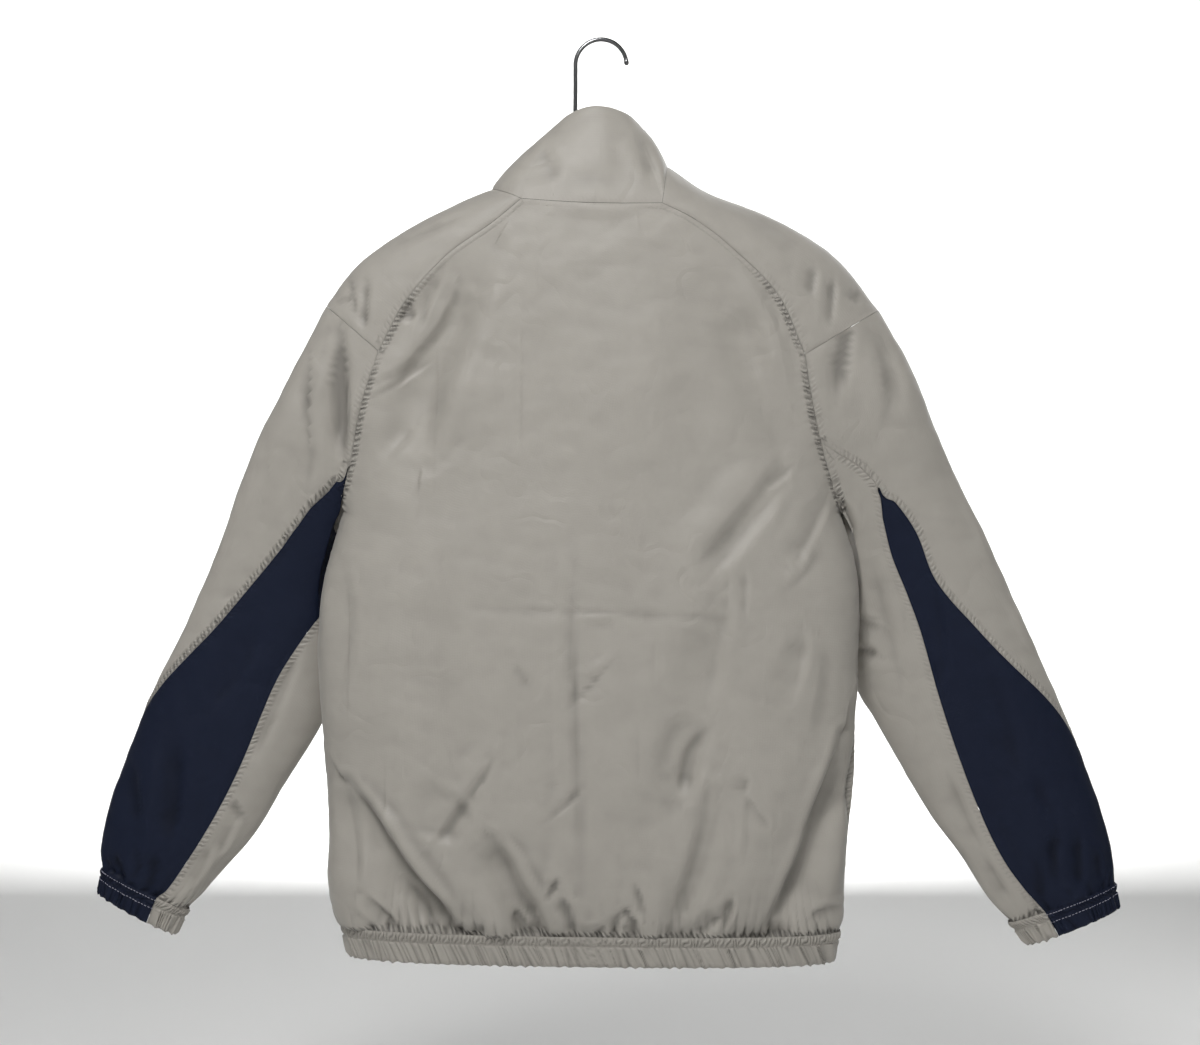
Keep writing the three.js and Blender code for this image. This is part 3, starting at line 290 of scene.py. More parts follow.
@dataclass(frozen=True)
class Crease:
    """A soft trough in the cloth, or a ridge where deep is positive.

    Args:
        line: Points (x, z) along it.
        wide: Half its width.
        deep: Its depth along the cloth's way out.
        lean: How much steeper one of its sides is.
    """

    line: tuple[tuple[float, float], ...]
    wide: float
    deep: float
    lean: float = 0.4

    def path(self, steps: int = 8) -> Array:
        """Gives a smooth run of points through the line.

        Args:
            steps: Points for each stretch.

        Returns:
            The points as rows of (x, z).
        """
        points = np.asarray(self.line, float)
        count = len(points)
        at = np.linspace(0, count - 1, (count - 1) * steps + 1)
        return np.stack([Curve(range(count), points[:, k])(at) for k in range(2)], axis=-1)

    def add_to(self, height: Array, x: Array, z: Array, weight: Array) -> None:
        """Adds the crease to a height field.

        Args:
            height: The heights that it changes.
            x: Each place's x.
            z: Each place's z.
            weight: How much of the crease each place takes.
        """
        path = self.path()
        reach = 3.6 * self.wide
        near = (x > path[:, 0].min() - reach) & (x < path[:, 0].max() + reach)
        near &= (z > path[:, 1].min() - reach) & (z < path[:, 1].max() + reach)
        near &= weight > 0
        if not near.any():
            return
        px, pz = x[near], z[near]
        steps = np.diff(path, axis=0)
        lengths = np.hypot(steps[:, 0], steps[:, 1])
        run = np.concatenate([[0.0], np.cumsum(lengths)])
        away = np.full(px.shape, np.inf)
        along = np.zeros(px.shape)
        side = np.zeros(px.shape)
        for k, (step, length) in enumerate(zip(steps, lengths)):
            dx, dz = px - path[k, 0], pz - path[k, 1]
            t = np.clip((dx * step[0] + dz * step[1]) / length**2, 0, 1)
            distance = np.hypot(dx - t * step[0], dz - t * step[1])
            closer = distance < away
            away = np.where(closer, distance, away)
            along = np.where(closer, run[k] + t * length, along)
            side = np.where(closer, np.sign(step[0] * dz - step[1] * dx), side)
        share = along / run[-1]
        ends = mix(0.2, 1.0, smooth(share / 0.3) * smooth((1 - share) / 0.3))
        ripple = 1 + 0.16 * np.sin(along / (1.9 * self.wide) + self.line[0][0])
        q = away / (self.wide * mix(0.62, 1.0, ends)) * (1 + self.lean * side)
        profile = np.exp(-q * q) - 0.24 * np.exp(-(((q - 1.9) / 0.75) ** 2))
        strength = self.deep * (1.2 + 0.1 * abs(self.deep))
        height[near] += strength * ripple * ends * profile * weight[near]


BACK_CREASES = (
    Crease(((-97, -196), (-120, -238), (-138, -279), (-155, -318), (-161, -388)), 20, -5.2),  # hollow
    Crease(((-132, -228), (-148, -261), (-179, -297), (-206, -312)), 7, 2.6),  # upper left ridge
    Crease(((-142, -216), (-156, -241), (-162, -265)), 5, -1.8),
    Crease(((-176, -236), (-172, -262)), 8, -3.0),  # hollow at the left seam
    Crease(((-171, -302), (-213, -329)), 4, 0.9),
    Crease(((-169, -352), (-199, -390)), 7, -1.4),
    Crease(((-153, -294), (-188, -322)), 3, -0.9),
    Crease(((-120, -357), (-147, -394)), 9, -1.0),
    Crease(((-55, -238), (-48, -348), (-40, -459)), 26, -1.6),  # soft sheen down the chest
    Crease(((37, -192), (48, -311), (37, -440)), 30, 1.5),
    Crease(((-37, -166), (0, -172), (37, -168)), 10, -0.9),  # under the collar
    Crease(((86, -203), (127, -265), (144, -330)), 16, -2.4),  # upper right fold
    Crease(((120, -203), (155, -265), (171, -330)), 10, 1.6),
    Crease(((183, -212), (181, -247), (184, -279)), 5, -1.8),
    Crease(((155, -387), (120, -429), (79, -478)), 10, 2.2),  # rays from the right armhole
    Crease(((164, -409), (129, -449), (92, -495)), 11, -2.4),
    Crease(((175, -390), (149, -412)), 5, -1.2),
    Crease(((208, -419), (186, -459), (171, -483)), 6, -1.9),
    Crease(((195, -464), (162, -501)), 6, 1.2),
    Crease(((114, -503), (103, -551), (91, -611)), 12, -2.4),  # long fold on the right
    Crease(((130, -483), (129, -530)), 4, -1.0),
    Crease(((187, -469), (176, -487)), 3, -0.9),
    Crease(((183, -540), (180, -564), (171, -603)), 7, -1.8),
    Crease(((195, -551), (191, -597), (184, -633)), 10, 1.6),
    Crease(((99, -621), (83, -644), (75, -690)), 11, -3.2),
    Crease(((92, -619), (73, -646), (66, -685)), 5, 1.6),
    Crease(((90, -668), (79, -725), (59, -797)), 8, 2.2),
    Crease(((104, -696), (85, -760), (64, -806)), 12, -3.4),
    Crease(((131, -668), (127, -685)), 6, -1.4),  # small star
    Crease(((128, -685), (153, -718)), 4, -1.0),
    Crease(((127, -683), (125, -744)), 4, 0.8),
    Crease(((221, -634), (214, -666), (201, -703), (184, -751), (155, -805)), 14, -7.0, -0.6),
    Crease(((219, -622), (201, -670), (184, -705), (167, -755), (140, -806)), 8, 1.8),
    Crease(((226, -689), (217, -744), (204, -790)), 14, 2.6),
    Crease(((191, -800), (206, -795), (223, -792)), 5, -2.2),
    Crease(((119, -775), (116, -790), (109, -810)), 4, -2.6),  # puckers over the hem
    Crease(((109, -793), (96, -805), (85, -818)), 6, -3.0),
    Crease(((22, -791), (16, -801), (11, -818)), 4, -2.6),
    Crease(((24, -791), (30, -801), (34, -819)), 4, -2.4),
    Crease(((19, -790), (27, -790)), 4, -1.4),
    Crease(((31, -764), (37, -781), (40, -797)), 3, -1.4),
    Crease(((6, -800), (1, -810), (-4, -820)), 4, -1.9),
    Crease(((-44, -764), (-37, -768)), 8, -2.6),
    Crease(((-37, -773), (-29, -794), (-21, -819)), 7, -3.0),
    Crease(((-75, -789), (-64, -810)), 4, -2.2),
    Crease(((-105, -801), (-108, -817)), 4, -1.8),
    Crease(((-98, -724), (-86, -749), (-74, -775), (-50, -816)), 12, -4.8),  # fold left of the middle
    Crease(((-85, -722), (-70, -751), (-55, -779)), 7, 1.6),
    Crease(((-116, -689), (-132, -709), (-138, -733)), 15, -4.4),  # three-cornered dent
    Crease(((-92, -644), (-121, -679), (-156, -733)), 7, 2.2),
    Crease(
        ((-230, -678), (-214, -702), (-191, -736), (-166, -770), (-144, -794), (-127, -816)), 14, -7.4, 0.6,
    ),
    Crease(((-210, -681), (-182, -720), (-155, -757), (-131, -788)), 9, 2.2),
    Crease(((-235, -675), (-228, -725), (-221, -775)), 9, -3.0),
    Crease(((-215, -777), (-199, -795), (-182, -814)), 5, -2.6),
    Crease(((-223, -790), (-213, -801), (-202, -814)), 4, -2.0),
    Crease(((-180, -764), (-158, -792), (-146, -814)), 5, -2.2),
    Crease(((-22, -477), (-24, -551), (-21, -611), (-18, -689), (-16, -771)), 5, -1.0),  # packing lines
    Crease(((-120, -518), (-37, -521), (55, -525), (129, -527)), 4, -0.5),
    Crease(((-21, -526), (0, -526), (17, -524)), 3, 0.9),
    Crease(((8, -563), (-7, -580), (-20, -598)), 3, 1.3),
    Crease(((0, -576), (-17, -595), (-27, -606)), 4, -1.3),
    Crease(((-15, -676), (-31, -695), (-49, -709)), 3, -1.2),
    Crease(((-77, -569), (-62, -589)), 4, -0.8),
    Crease(((-93, -641), (-109, -681)), 5, -1.0),
    Crease(((-184, -514), (-191, -587), (-180, -643)), 30, 2.0),  # soft swells
    Crease(((-142, -495), (-147, -569), (-136, -633)), 22, -1.6),
    Crease(((-235, -477), (-228, -532), (-234, -597)), 9, -1.6),
    Crease(((37, -551), (33, -643), (20, -716)), 26, 1.5),
)
FRONT_CREASES = (
    Crease(((-228, -655), (-190, -715), (-150, -765), (-122, -812)), 13, -5.5),
    Crease(((-200, -650), (-165, -705), (-128, -770)), 9, 2.0),
    Crease(((-112, -700), (-92, -755), (-72, -812)), 11, -4.0),
    Crease(((-60, -755), (-48, -812)), 6, -2.2),
    Crease(((-176, -790), (-168, -815)), 5, -2.0),
    Crease(((-200, -775), (-188, -814)), 6, -2.4),
    Crease(((212, -640), (180, -705), (148, -765), (120, -812)), 13, -5.5),
    Crease(((186, -650), (160, -700), (128, -760)), 9, 1.8),
    Crease(((98, -560), (84, -650), (64, -740)), 13, -3.0),
    Crease(((84, -760), (70, -812)), 6, -2.2),
    Crease(((172, -780), (160, -814)), 6, -2.2),
    Crease(((40, -775), (34, -812)), 5, -1.8),
    Crease(((-88, -220), (-120, -290), (-158, -380)), 14, -3.0),
    Crease(((-190, -390), (-150, -440), (-110, -475)), 9, -1.8),
    Crease(((-205, -430), (-170, -480), (-140, -500)), 8, 1.4),
    Crease(((80, -222), (112, -290), (148, -378)), 14, -2.8),
    Crease(((176, -390), (140, -436), (104, -474)), 9, -1.8),
    Crease(((190, -428), (158, -476), (130, -500)), 8, 1.4),
    Crease(((-60, -300), (-66, -420), (-58, -520)), 20, 1.2),
    Crease(((56, -320), (60, -430), (52, -540)), 20, 1.2),
    Crease(((-216, -518), (-150, -522), (-60, -526)), 4, -0.7),
    Crease(((60, -524), (140, -528), (200, -530)), 4, -0.7),
    Crease(((-130, -560), (-140, -620), (-128, -680)), 12, -1.6),
    Crease(((150, -560), (158, -620), (146, -670)), 12, -1.5),
)
SADDLE_CREASES = (
    Crease(((-211, -223), (-213, -243), (-213, -268)), 4, -2.0),
    Crease(((-229, -216), (-224, -238), (-223, -259)), 3, -1.6),
    Crease(((-136, -170), (-166, -179), (-191, -192)), 7, -1.2),
    Crease(((-120, -159), (-147, -166), (-175, -179)), 5, 0.8),
    Crease(((-234, -234), (-230, -243)), 6, -1.6),
    Crease(((213, -216), (211, -242), (208, -265)), 4, -1.8),
    Crease(((132, -159), (166, -179), (190, -197)), 7, -1.1),
    Crease(((195, -208), (191, -238)), 5, -1.3),
    Crease(((237, -230), (232, -243)), 6, -1.4),
)
COLLAR_CREASES = (
    Crease(((-57, -100), (-48, -120), (-44, -138)), 12, -1.6),
    Crease(((0, -70), (4, -100), (-2, -137)), 18, 1.2),
    Crease(((37, -83), (46, -107), (52, -133)), 6, -1.8),
    Crease(((26, -80), (33, -105), (39, -137)), 7, 1.0),
)
SLEEVE_CREASES = {
    "left": (
        Crease(((-236, -268), (-235, -321), (-236, -391)), 8, -5.5),  # beside the armhole
        Crease(((-256, -319), (-263, -367), (-270, -420)), 9, -2.0),
        Crease(((-280, -330), (-311, -394), (-339, -459)), 14, 1.4),
        Crease(((-248, -265), (-259, -304), (-274, -348)), 7, -1.6),
        Crease(((-311, -477), (-335, -505), (-355, -514)), 6, -1.2),  # at the elbow
        Crease(((-433, -665), (-429, -693), (-422, -722)), 7, -1.8),  # down the insert
        Crease(((-387, -641), (-390, -689), (-396, -740)), 8, -2.4),
        Crease(((-408, -644), (-412, -698), (-416, -744)), 9, 1.6),
        Crease(((-452, -747), (-445, -762), (-440, -778)), 4, -2.0),
        Crease(((-459, -752), (-452, -771)), 3, -1.6),
        Crease(((-407, -746), (-412, -766), (-416, -786)), 5, -2.0),
        Crease(((-427, -740), (-425, -760), (-428, -781)), 4, -1.6),
        Crease(((-311, -532), (-331, -576), (-362, -617)), 10, -1.6),
        Crease(((-335, -714), (-344, -731), (-355, -751)), 5, -2.0),  # under the forearm
        Crease(((-339, -698), (-328, -719)), 4, -1.6),
        Crease(((-357, -740), (-370, -764), (-381, -779)), 5, -1.8),
        Crease(((-276, -551), (-302, -621), (-322, -663)), 7, -1.4),
    ),
    "right": (
        Crease(((230, -243), (223, -284), (213, -334)), 7, -2.2),
        Crease(((249, -256), (263, -293), (275, -337)), 10, -1.4),
        Crease(((245, -275), (252, -321), (250, -357)), 8, 1.4),
        Crease(((215, -420), (223, -438), (230, -459)), 8, -3.0),  # groove by the body
        Crease(((236, -559), (247, -562), (258, -566)), 5, -2.6),
        Crease(((226, -518), (241, -534), (261, -541)), 6, -1.6),
        Crease(((250, -477), (263, -532), (278, -597)), 8, -1.4),
        Crease(((307, -494), (312, -547), (314, -603)), 7, -1.6),
        Crease(((421, -724), (420, -753), (417, -781)), 5, -2.0),
        Crease(((441, -730), (443, -755), (442, -781)), 5, -2.2),
        Crease(((401, -744), (407, -771), (410, -795)), 4, -1.6),
        Crease(((377, -661), (405, -716), (429, -744)), 10, 1.4),
        Crease(((350, -569), (372, -624), (386, -689)), 12, -1.6),
        Crease(((304, -367), (329, -422), (350, -477)), 10, -1.4),
        Crease(((368, -514), (388, -551), (410, -576)), 7, -1.2),
        Crease(((460, -744), (464, -764), (467, -775)), 4, -1.6),
        Crease(((322, -679), (337, -716), (350, -740)), 6, -1.8),
        Crease(((355, -753), (368, -775), (379, -792)), 5, -1.8),
    ),
}
SLEEVE_FRONT_CREASES = {
    "left": (
        Crease(((-262, -330), (-270, -390), (-262, -440)), 9, -2.2),
        Crease(((-300, -470), (-270, -500), (-246, -520)), 8, -1.8),
        Crease(((-330, -540), (-296, -560), (-262, -570)), 7, -1.8),
        Crease(((-350, -600), (-372, -660), (-392, -716)), 10, -1.8),
        Crease(((-440, -700), (-436, -740), (-430, -772)), 6, -1.8),
        Crease(((-396, -740), (-402, -768), (-408, -788)), 5, -1.8),
        Crease(((-372, -744), (-382, -776)), 5, -1.6),
    ),
    "right": (
        Crease(((262, -330), (268, -388), (258, -440)), 9, -2.2),
        Crease(((302, -470), (272, -500), (246, -518)), 8, -1.8),
        Crease(((336, -545), (300, -566), (266, -576)), 7, -1.8),
        Crease(((356, -600), (380, -660), (402, -720)), 10, -1.8),
        Crease(((452, -712), (448, -750), (442, -782)), 6, -1.8),
        Crease(((404, -744), (412, -776), (418, -798)), 5, -1.8),
        Crease(((384, -760), (394, -788)), 5, -1.6),
    ),
}


def mix(a: Array, b: Array, t: Array) -> Array:
    """Gives the value at share t of the way from a to b."""
    return a + (b - a) * t


def smooth(t: Array) -> Array:
    """Gives an eased step from 0 to 1 as t goes from 0 to 1."""
    t = np.clip(t, 0.0, 1.0)
    return t * t * (3 - 2 * t)


def places(x: Array, y: Array, z: Array) -> Array:
    """Joins coordinates into an array of points."""
    return np.stack(np.broadcast_arrays(x, y, z), axis=-1).astype(float)


def unit(vectors: Array) -> Array:
    """Gives the vectors at length 1."""
    return vectors / np.maximum(np.linalg.norm(vectors, axis=-1, keepdims=True), 1e-9)


def wobble(at: Array, pitch: float, seed: int) -> Array:
    """An uneven wave that never quite repeats.

    Args:
        at: Places along it.
        pitch: The usual distance between two of its crests.
        seed: Picks one of its forms.

    Returns:
        Values from about -1 to 1.
    """
    rng = np.random.default_rng(seed)
    total = np.zeros_like(np.asarray(at, float))
    for _ in range(5):
        length = pitch * rng.uniform(0.72, 1.45)
        total += np.sin(2 * np.pi * (at / length + rng.uniform(0, 1)))
    return total / 2.6


def crumple(points: Array, size: float, seed: int) -> Array:
    """Low uneven relief over cloth that has been worn and folded.

    Args:
        points: Places in millimetres.
        size: The usual distance between two of its ridges.
        seed: Picks one of its forms.

    Returns:
        Heights from about -1 to 1.
    """
    rng = np.random.default_rng(seed)
    total = np.zeros(points.shape[:-1])
    for _ in range(7):
        way = unit(rng.normal(size=3))
        bend = unit(rng.normal(size=3))
        length = size * rng.uniform(0.7, 1.8)
        turn = 1.4 * np.sin(points @ bend / (length * 0.9) + rng.uniform(0, 6))
        wave = np.sin(points @ way * 2 * np.pi / length + turn + rng.uniform(0, 6))
        total += wave * np.abs(wave) ** 0.4
    return total / 3.2


def run_lengths(points: Array, axis: int) -> Array:
    """Lengths along a grid's rows or columns.

    Args:
        points: A grid of points.
        axis: 1 to measure along rows, 0 along columns.

    Returns:
        The length up to each point, from 0.
    """
    steps = np.linalg.norm(np.diff(points, axis=axis), axis=-1)
    start = np.zeros_like(np.take(steps, [0], axis=axis))
    return np.concatenate([start, np.cumsum(steps, axis=axis)], axis=axis)


@dataclass(frozen=True)
class CollarTop:
    """Where the collar's top edge lies."""

    left: float = -46.0
    right: float = 43.0
    back_y: float = -22.0
    middle_y: float = 16.0
    front_y: float = 58.0
    back_z: float = -64.0
    side_z: float = -87.0
    front_z: float = -131.0


COLLAR_TOP = CollarTop()


class Edge(Enum):
    """An edge of a panel's grid."""

    FIRST_COLUMN = "first column"
    LAST_COLUMN = "last column"


class Unit(Enum):
    """What is repeated along a line."""

    STITCH = "stitch"
    TOOTH = "tooth"


@dataclass
class Panel:
    """A piece of cloth on a grid.

    Args:
        name: The solid that it dresses.
        rows: Its grid of points, rows by columns.
        place: Each row's number among the solid's rows.
        across: Each point's distance round the gathered edge.
        above: Each point's distance from the gathered edge.
        out: The way out at each point.
        seam: Each point's distance from the nearest seam.
        stress: The run along the nearest seam, the distance from it and how tight it is.
        hollow: How deep each point lies in a sharp fold, kept for the painted shade of its colour.
    """

    name: str
    rows: Array
    place: Array
    across: Array
    above: Array
    out: Array = field(default_factory=lambda: np.zeros(0))
    seam: Array = field(default_factory=lambda: np.zeros(0))
    stress: Array = field(default_factory=lambda: np.zeros(0))
    hollow: Array = field(default_factory=lambda: np.zeros(0))

    def reversed(self) -> Panel:
        """Gives the panel with its columns the other way round."""
        return Panel(self.name, self.rows[:, ::-1], self.place, self.across[:, ::-1], self.above[:, ::-1])

    def own_normals(self) -> Array:
        """Gives the sum of the face normals at each point."""
        rows = self.rows
        face = unit(np.cross(rows[1:, 1:] - rows[:-1, :-1], rows[1:, :-1] - rows[:-1, 1:]))
        total = np.zeros_like(rows)
        total[:-1, :-1] += face
        total[:-1, 1:] += face
        total[1:, :-1] += face
        total[1:, 1:] += face
        return total

    def beside(
        self, edge: Edge, distance: float, lift: float, span: tuple[float, float] | None = None,
    ) -> Array:
        """A line on the cloth beside one of its seams.

        Args:
            edge: The edge that the seam is on.
            distance: How far the line is from the seam.
            lift: How far the line stands out of the cloth.
            span: The first and last of the solid's rows that it passes, or None for all.

        Returns:
            The line's points.
        """
        rows, seam, out = self.rows, self.seam, self.out
        if edge is Edge.LAST_COLUMN:
            rows, seam, out = rows[:, ::-1], seam[:, ::-1], out[:, ::-1]
        line = []
        for i in range(len(rows)):
            if span and not span[0] <= self.place[i] <= span[1]:
                continue
            k = int(np.argmax(seam[i] >= distance))
            if k == 0:
                continue
            t = (distance - seam[i, k - 1]) / (seam[i, k] - seam[i, k - 1])
            line.append(mix(rows[i, k - 1], rows[i, k], t) + out[i, k] * lift)
        return np.asarray(line)


class JacketForm:
    """The jacket's plain form: the solids' cut on finer rows and columns."""

    def __init__(self) -> None:
        """Makes the curves of every table."""
        self.body = BODY.curves("z")
        self.middle = {face: self.whole_middle(face) for face in MIDDLE}
        self.side = {face: SIDE[face].curves("z")["y"] for face in SIDE}
        self.hole = {side: ARMHOLE[side].curves("turn") for side in ARMHOLE}
        self.saddle = {side: SADDLE[side].curves() for side in SADDLE}

    @staticmethod
    def whole_middle(face: str) -> Curve:
        """Gives a face's middle from the hem to the neck as one curve."""
        column = BODY.names.split().index(face)
        rows = [(row[0], row[column]) for row in BODY.rows] + list(MIDDLE[face].rows[1:])
        return Curve(*zip(*rows))

    @staticmethod
    def eased(edge: Array, reach: int = 26) -> Array:
        """Evens out an edge's rows, for the cloth away from it.

        Args:
            edge: Its points.
            reach: How many rows each way count.

        Returns:
            The evened points, with the same first and last.
        """
        step = np.arange(-reach, reach + 1)
        weight = np.exp(-((step / (0.45 * reach)) ** 2))
        before, after = 2 * edge[0] - edge[reach:0:-1], 2 * edge[-1] - edge[-2:-reach - 2:-1]
        long = np.concatenate([before, edge, after])
        return np.stack([np.convolve(long[:, k], weight / weight.sum(), mode="valid") for k in range(3)], -1)

    def level_section(self, z: Array, t: Array, face: str) -> Array:
        """Points of the body's level section.

        Args:
            z: Heights.
            t: Shares of the half turn from the left to the right.
            face: back or front.

        Returns:
            The points, a little lower to the right near the hem.
        """
        power = 2 / FULLNESS[face]
        c = np.cos(np.pi * t)
        along = np.sign(c) * np.abs(c) ** power
        bulge = np.abs(np.sin(np.pi * t)) ** power
        left, right = self.body["left"](z), self.body["right"](z)
        x = (right + left) / 2 - (right - left) / 2 * along
        tilt = HEM_TILT * (x - CENTRE_X) * smooth((-700 - z) / 100)
        return places(x, self.body[face](z) * bulge, z + tilt)

    def shoulder(self, side: str, across: Array, along: Array) -> Array:
        """Points of a shoulder saddle.

        Args:
            side: left or right.
            across: -1 at the front seam, 0 on top, 1 at the back seam.
            along: 0 at the neck, 1 at the sleeve.

        Returns:
            The points.
        """
        rows = self.saddle[side]
        s = np.asarray(along, float) * (len(SADDLE[side].rows) - 1)
        rise = np.sin((1 - np.abs(across)) * np.pi / 2)
        reach = np.cos((1 - np.abs(across)) * np.pi / 2)
        seam = [np.where(np.asarray(across) > 0, rows["back" + k](s), rows["front" + k](s)) for k in "XYZ"]
        return places(
            mix(seam[0], rows["topX"](s), rise),
            mix(rows["topY"](s), seam[1], reach),
            mix(seam[2], rows["topZ"](s), rise),
        )

    def armhole(self, side: str, turn: Array) -> Array:
        """Gives points of an armhole seam at turns in degrees."""
        t = np.mod(np.asarray(turn, float), 360)
        hole = self.hole[side]
        low = places(hole["x"](t), hole["y"](t), hole["z"](t))
        across = np.clip(np.where(t > 180, t - 360, t) / 60, -1, 1)
        top = self.shoulder(side, across, np.ones_like(t))
        on_top = ((t < 60) | (t > 300))[..., None]
        return np.where(on_top, top, low)

    @staticmethod
    def seam_y(z: Array) -> Array:
        """Gives the side seams' y at each height."""
        return 5 * smooth((z + 605) / 173)

    def panel_edge(self, side: str, face: str) -> tuple[Array, Array]:
        """The back's or front's edge, from the hem up.

        Args:
            side: left or right.
            face: back or front.

        Returns:
            The edge's points and each row's number among the solid's rows.
        """
        count = SIDE_ROWS * SIDE_STEPS
        z = mix(HEM_SEAM_Z, UNDERARM_Z, np.arange(count) / count)
        low = self.level_section(z, np.full(count, 0.0 if side == "left" else 1.0), "back")
        low[:, 1] = self.seam_y(z)
        share = np.arange(ARMHOLE_ROWS * ARMHOLE_STEPS + 1) / (ARMHOLE_ROWS * ARMHOLE_STEPS)
        hole = self.armhole(side, mix(180, 60 if face == "back" else 300, share))
        steps = np.arange(1, RAGLAN_ROWS * RAGLAN_STEPS + 1) / (RAGLAN_ROWS * RAGLAN_STEPS)
        top = self.shoulder(side, np.full(len(steps), 1.0 if face == "back" else -1.0), 1 - steps)
        place = np.concatenate([
            np.arange(count) / SIDE_STEPS,
            SIDE_ROWS + share * ARMHOLE_ROWS,
            SIDE_ROWS + ARMHOLE_ROWS + steps * RAGLAN_ROWS,
        ])
        return np.concatenate([low, hole, top]), place

    @staticmethod
    def fold_depth(face: str, x: Array, z: Array) -> Array:
        """Gives the depth of the large folds at each place of a face."""
        total = np.zeros_like(x)
        for x0, z0, x1, z1, wide, deep in FOLDS[face]:
            dx, dz = x1 - x0, z1 - z0
            along = np.clip(((x - x0) * dx + (z - z0) * dz) / (dx * dx + dz * dz), 0, 1)
            away = np.hypot(x - x0 - dx * along, z - z0 - dz * along) / wide
            total += deep * np.exp(-away * away) * smooth(along * 4 + 0.2)
        return total

    @staticmethod
    def roundness(z: Array) -> Array:
        """Gives how much a row keeps of the level section's round sides."""
        return 1 - smooth((z + 520) / 190)

    def back(self) -> Panel:
        """Makes the back panel, left to right."""
        left, place = self.panel_edge("left", "back")
        right, _ = self.panel_edge("right", "back")
        row = place[:, None]
        t = np.linspace(0, 1, BACK_COLUMNS + 1)[None]
        inner = smooth(np.minimum(t, 1 - t) * 9)[..., None]
        start = mix(left[:, None], self.eased(left)[:, None], inner)
        end = mix(right[:, None], self.eased(right)[:, None], inner)
        power = 2 / FULLNESS["back"]
        rounded = self.roundness((start[..., 2] + end[..., 2]) / 2)
        neck = smooth((row - ALL_ROWS + 3) / 3)
        c = np.cos(np.pi * t)
        share = mix(t, (1 - np.sign(c) * np.abs(c) ** power) / 2, rounded)
        x = mix(start[..., 0], end[..., 0], share)
        z = mix(start[..., 2], end[..., 2], share) - neck * 2 * np.sin(np.pi * t)
        middle = self.middle["back"](z)
        bulge = mix(1 - (2 * t - 1) ** 2, np.sin(np.pi * t) ** power, rounded)
        below = row < SIDE_ROWS + ARMHOLE_ROWS
        side = np.where(below, self.side["back"](z), mix(start[..., 1], end[..., 1], t))
        seam = (start[..., 1] - side) * np.exp(-t * BACK_DECAY)
        seam = seam + (end[..., 1] - side) * np.exp((t - 1) * BACK_DECAY)
        inside = smooth(t * 9) * smooth((1 - t) * 9) * smooth((ALL_ROWS - row) / 2)
        y = mix(side + np.where(below, seam, 0), middle, bulge) - self.fold_depth("back", x, z) * inside
        rows = places(x, y, z)
        rows[:, 0], rows[:, -1] = left, right
        return Panel("back", rows, place, rows[..., 0], self.above_hem(rows))

    def front(self, side: str) -> Panel:
        """Makes one front panel, from the zip out."""
        edge, place = self.panel_edge(side, "front")
        sign = -1 if side == "left" else 1
        row = place[:, None]
        t = np.linspace(0, 1, FRONT_COLUMNS + 1)[None]
        to = mix(edge[:, None], self.eased(edge)[:, None], smooth((1 - t) * 5)[..., None])
        power = 2 / FULLNESS["front"]
        rounded = self.roundness(to[..., 2])
        upper = (row - SIDE_ROWS) / (ALL_ROWS - SIDE_ROWS)
        neck = smooth(upper)
        zip_z = np.where(row <= SIDE_ROWS, to[..., 2], mix(UNDERARM_Z, NECK_FRONT_Z, upper))
        start_x = ZIP_X + sign * FRONT_EDGE
        start_y = self.middle["front"](zip_z)
        x = mix(start_x, to[..., 0], mix(t, np.sin(t * np.pi / 2) ** power, rounded))
        z = mix(zip_z, to[..., 2], mix(t, t**1.7, neck))
        level = HEM_SEAM_Z + HEM_TILT * (x - CENTRE_X)
        z = z + (level - edge[0, 2]) * np.clip(1 - row, 0, 1)
        bulge = mix(1 - t**3, np.abs(np.cos(t * np.pi / 2)) ** power, rounded)
        flat = np.where(row < SIDE_ROWS + ARMHOLE_ROWS, self.side["front"](z), to[..., 1])
        ends = flat + (to[..., 1] - flat) * np.exp((t - 1) * FRONT_DECAY)
        inside = smooth(t * 4 - 0.5) * smooth((1 - t) * 5) * smooth((ALL_ROWS - row) / 2)
        y = mix(ends, start_y, bulge) + self.fold_depth("front", x, z) * inside
        rows = places(x, y, z)
        rows[:, -1] = edge
        return Panel(f"front_{side}", rows, place, rows[..., 0] + 2000, self.above_hem(rows))

    @staticmethod
    def above_hem(rows: Array) -> Array:
        """Gives each point's height above the hem seam."""
        return rows[..., 2] - (HEM_SEAM_Z + HEM_TILT * (rows[..., 0] - CENTRE_X))

    def saddle_panel(self, side: str) -> Panel:
        """Makes a shoulder saddle, from the neck out."""
        along = np.linspace(0, 1, RAGLAN_ROWS * RAGLAN_STEPS + 1)[:, None]
        across = np.linspace(1, -1, ARMHOLE_ROWS * ARMHOLE_STEPS + 1)[None]
        rows = self.shoulder(side, *np.broadcast_arrays(across, along))
        far = np.full(rows.shape[:2], 1e3)
        return Panel(f"shoulder_{side}", rows, along[:, 0] * RAGLAN_ROWS, far, far)

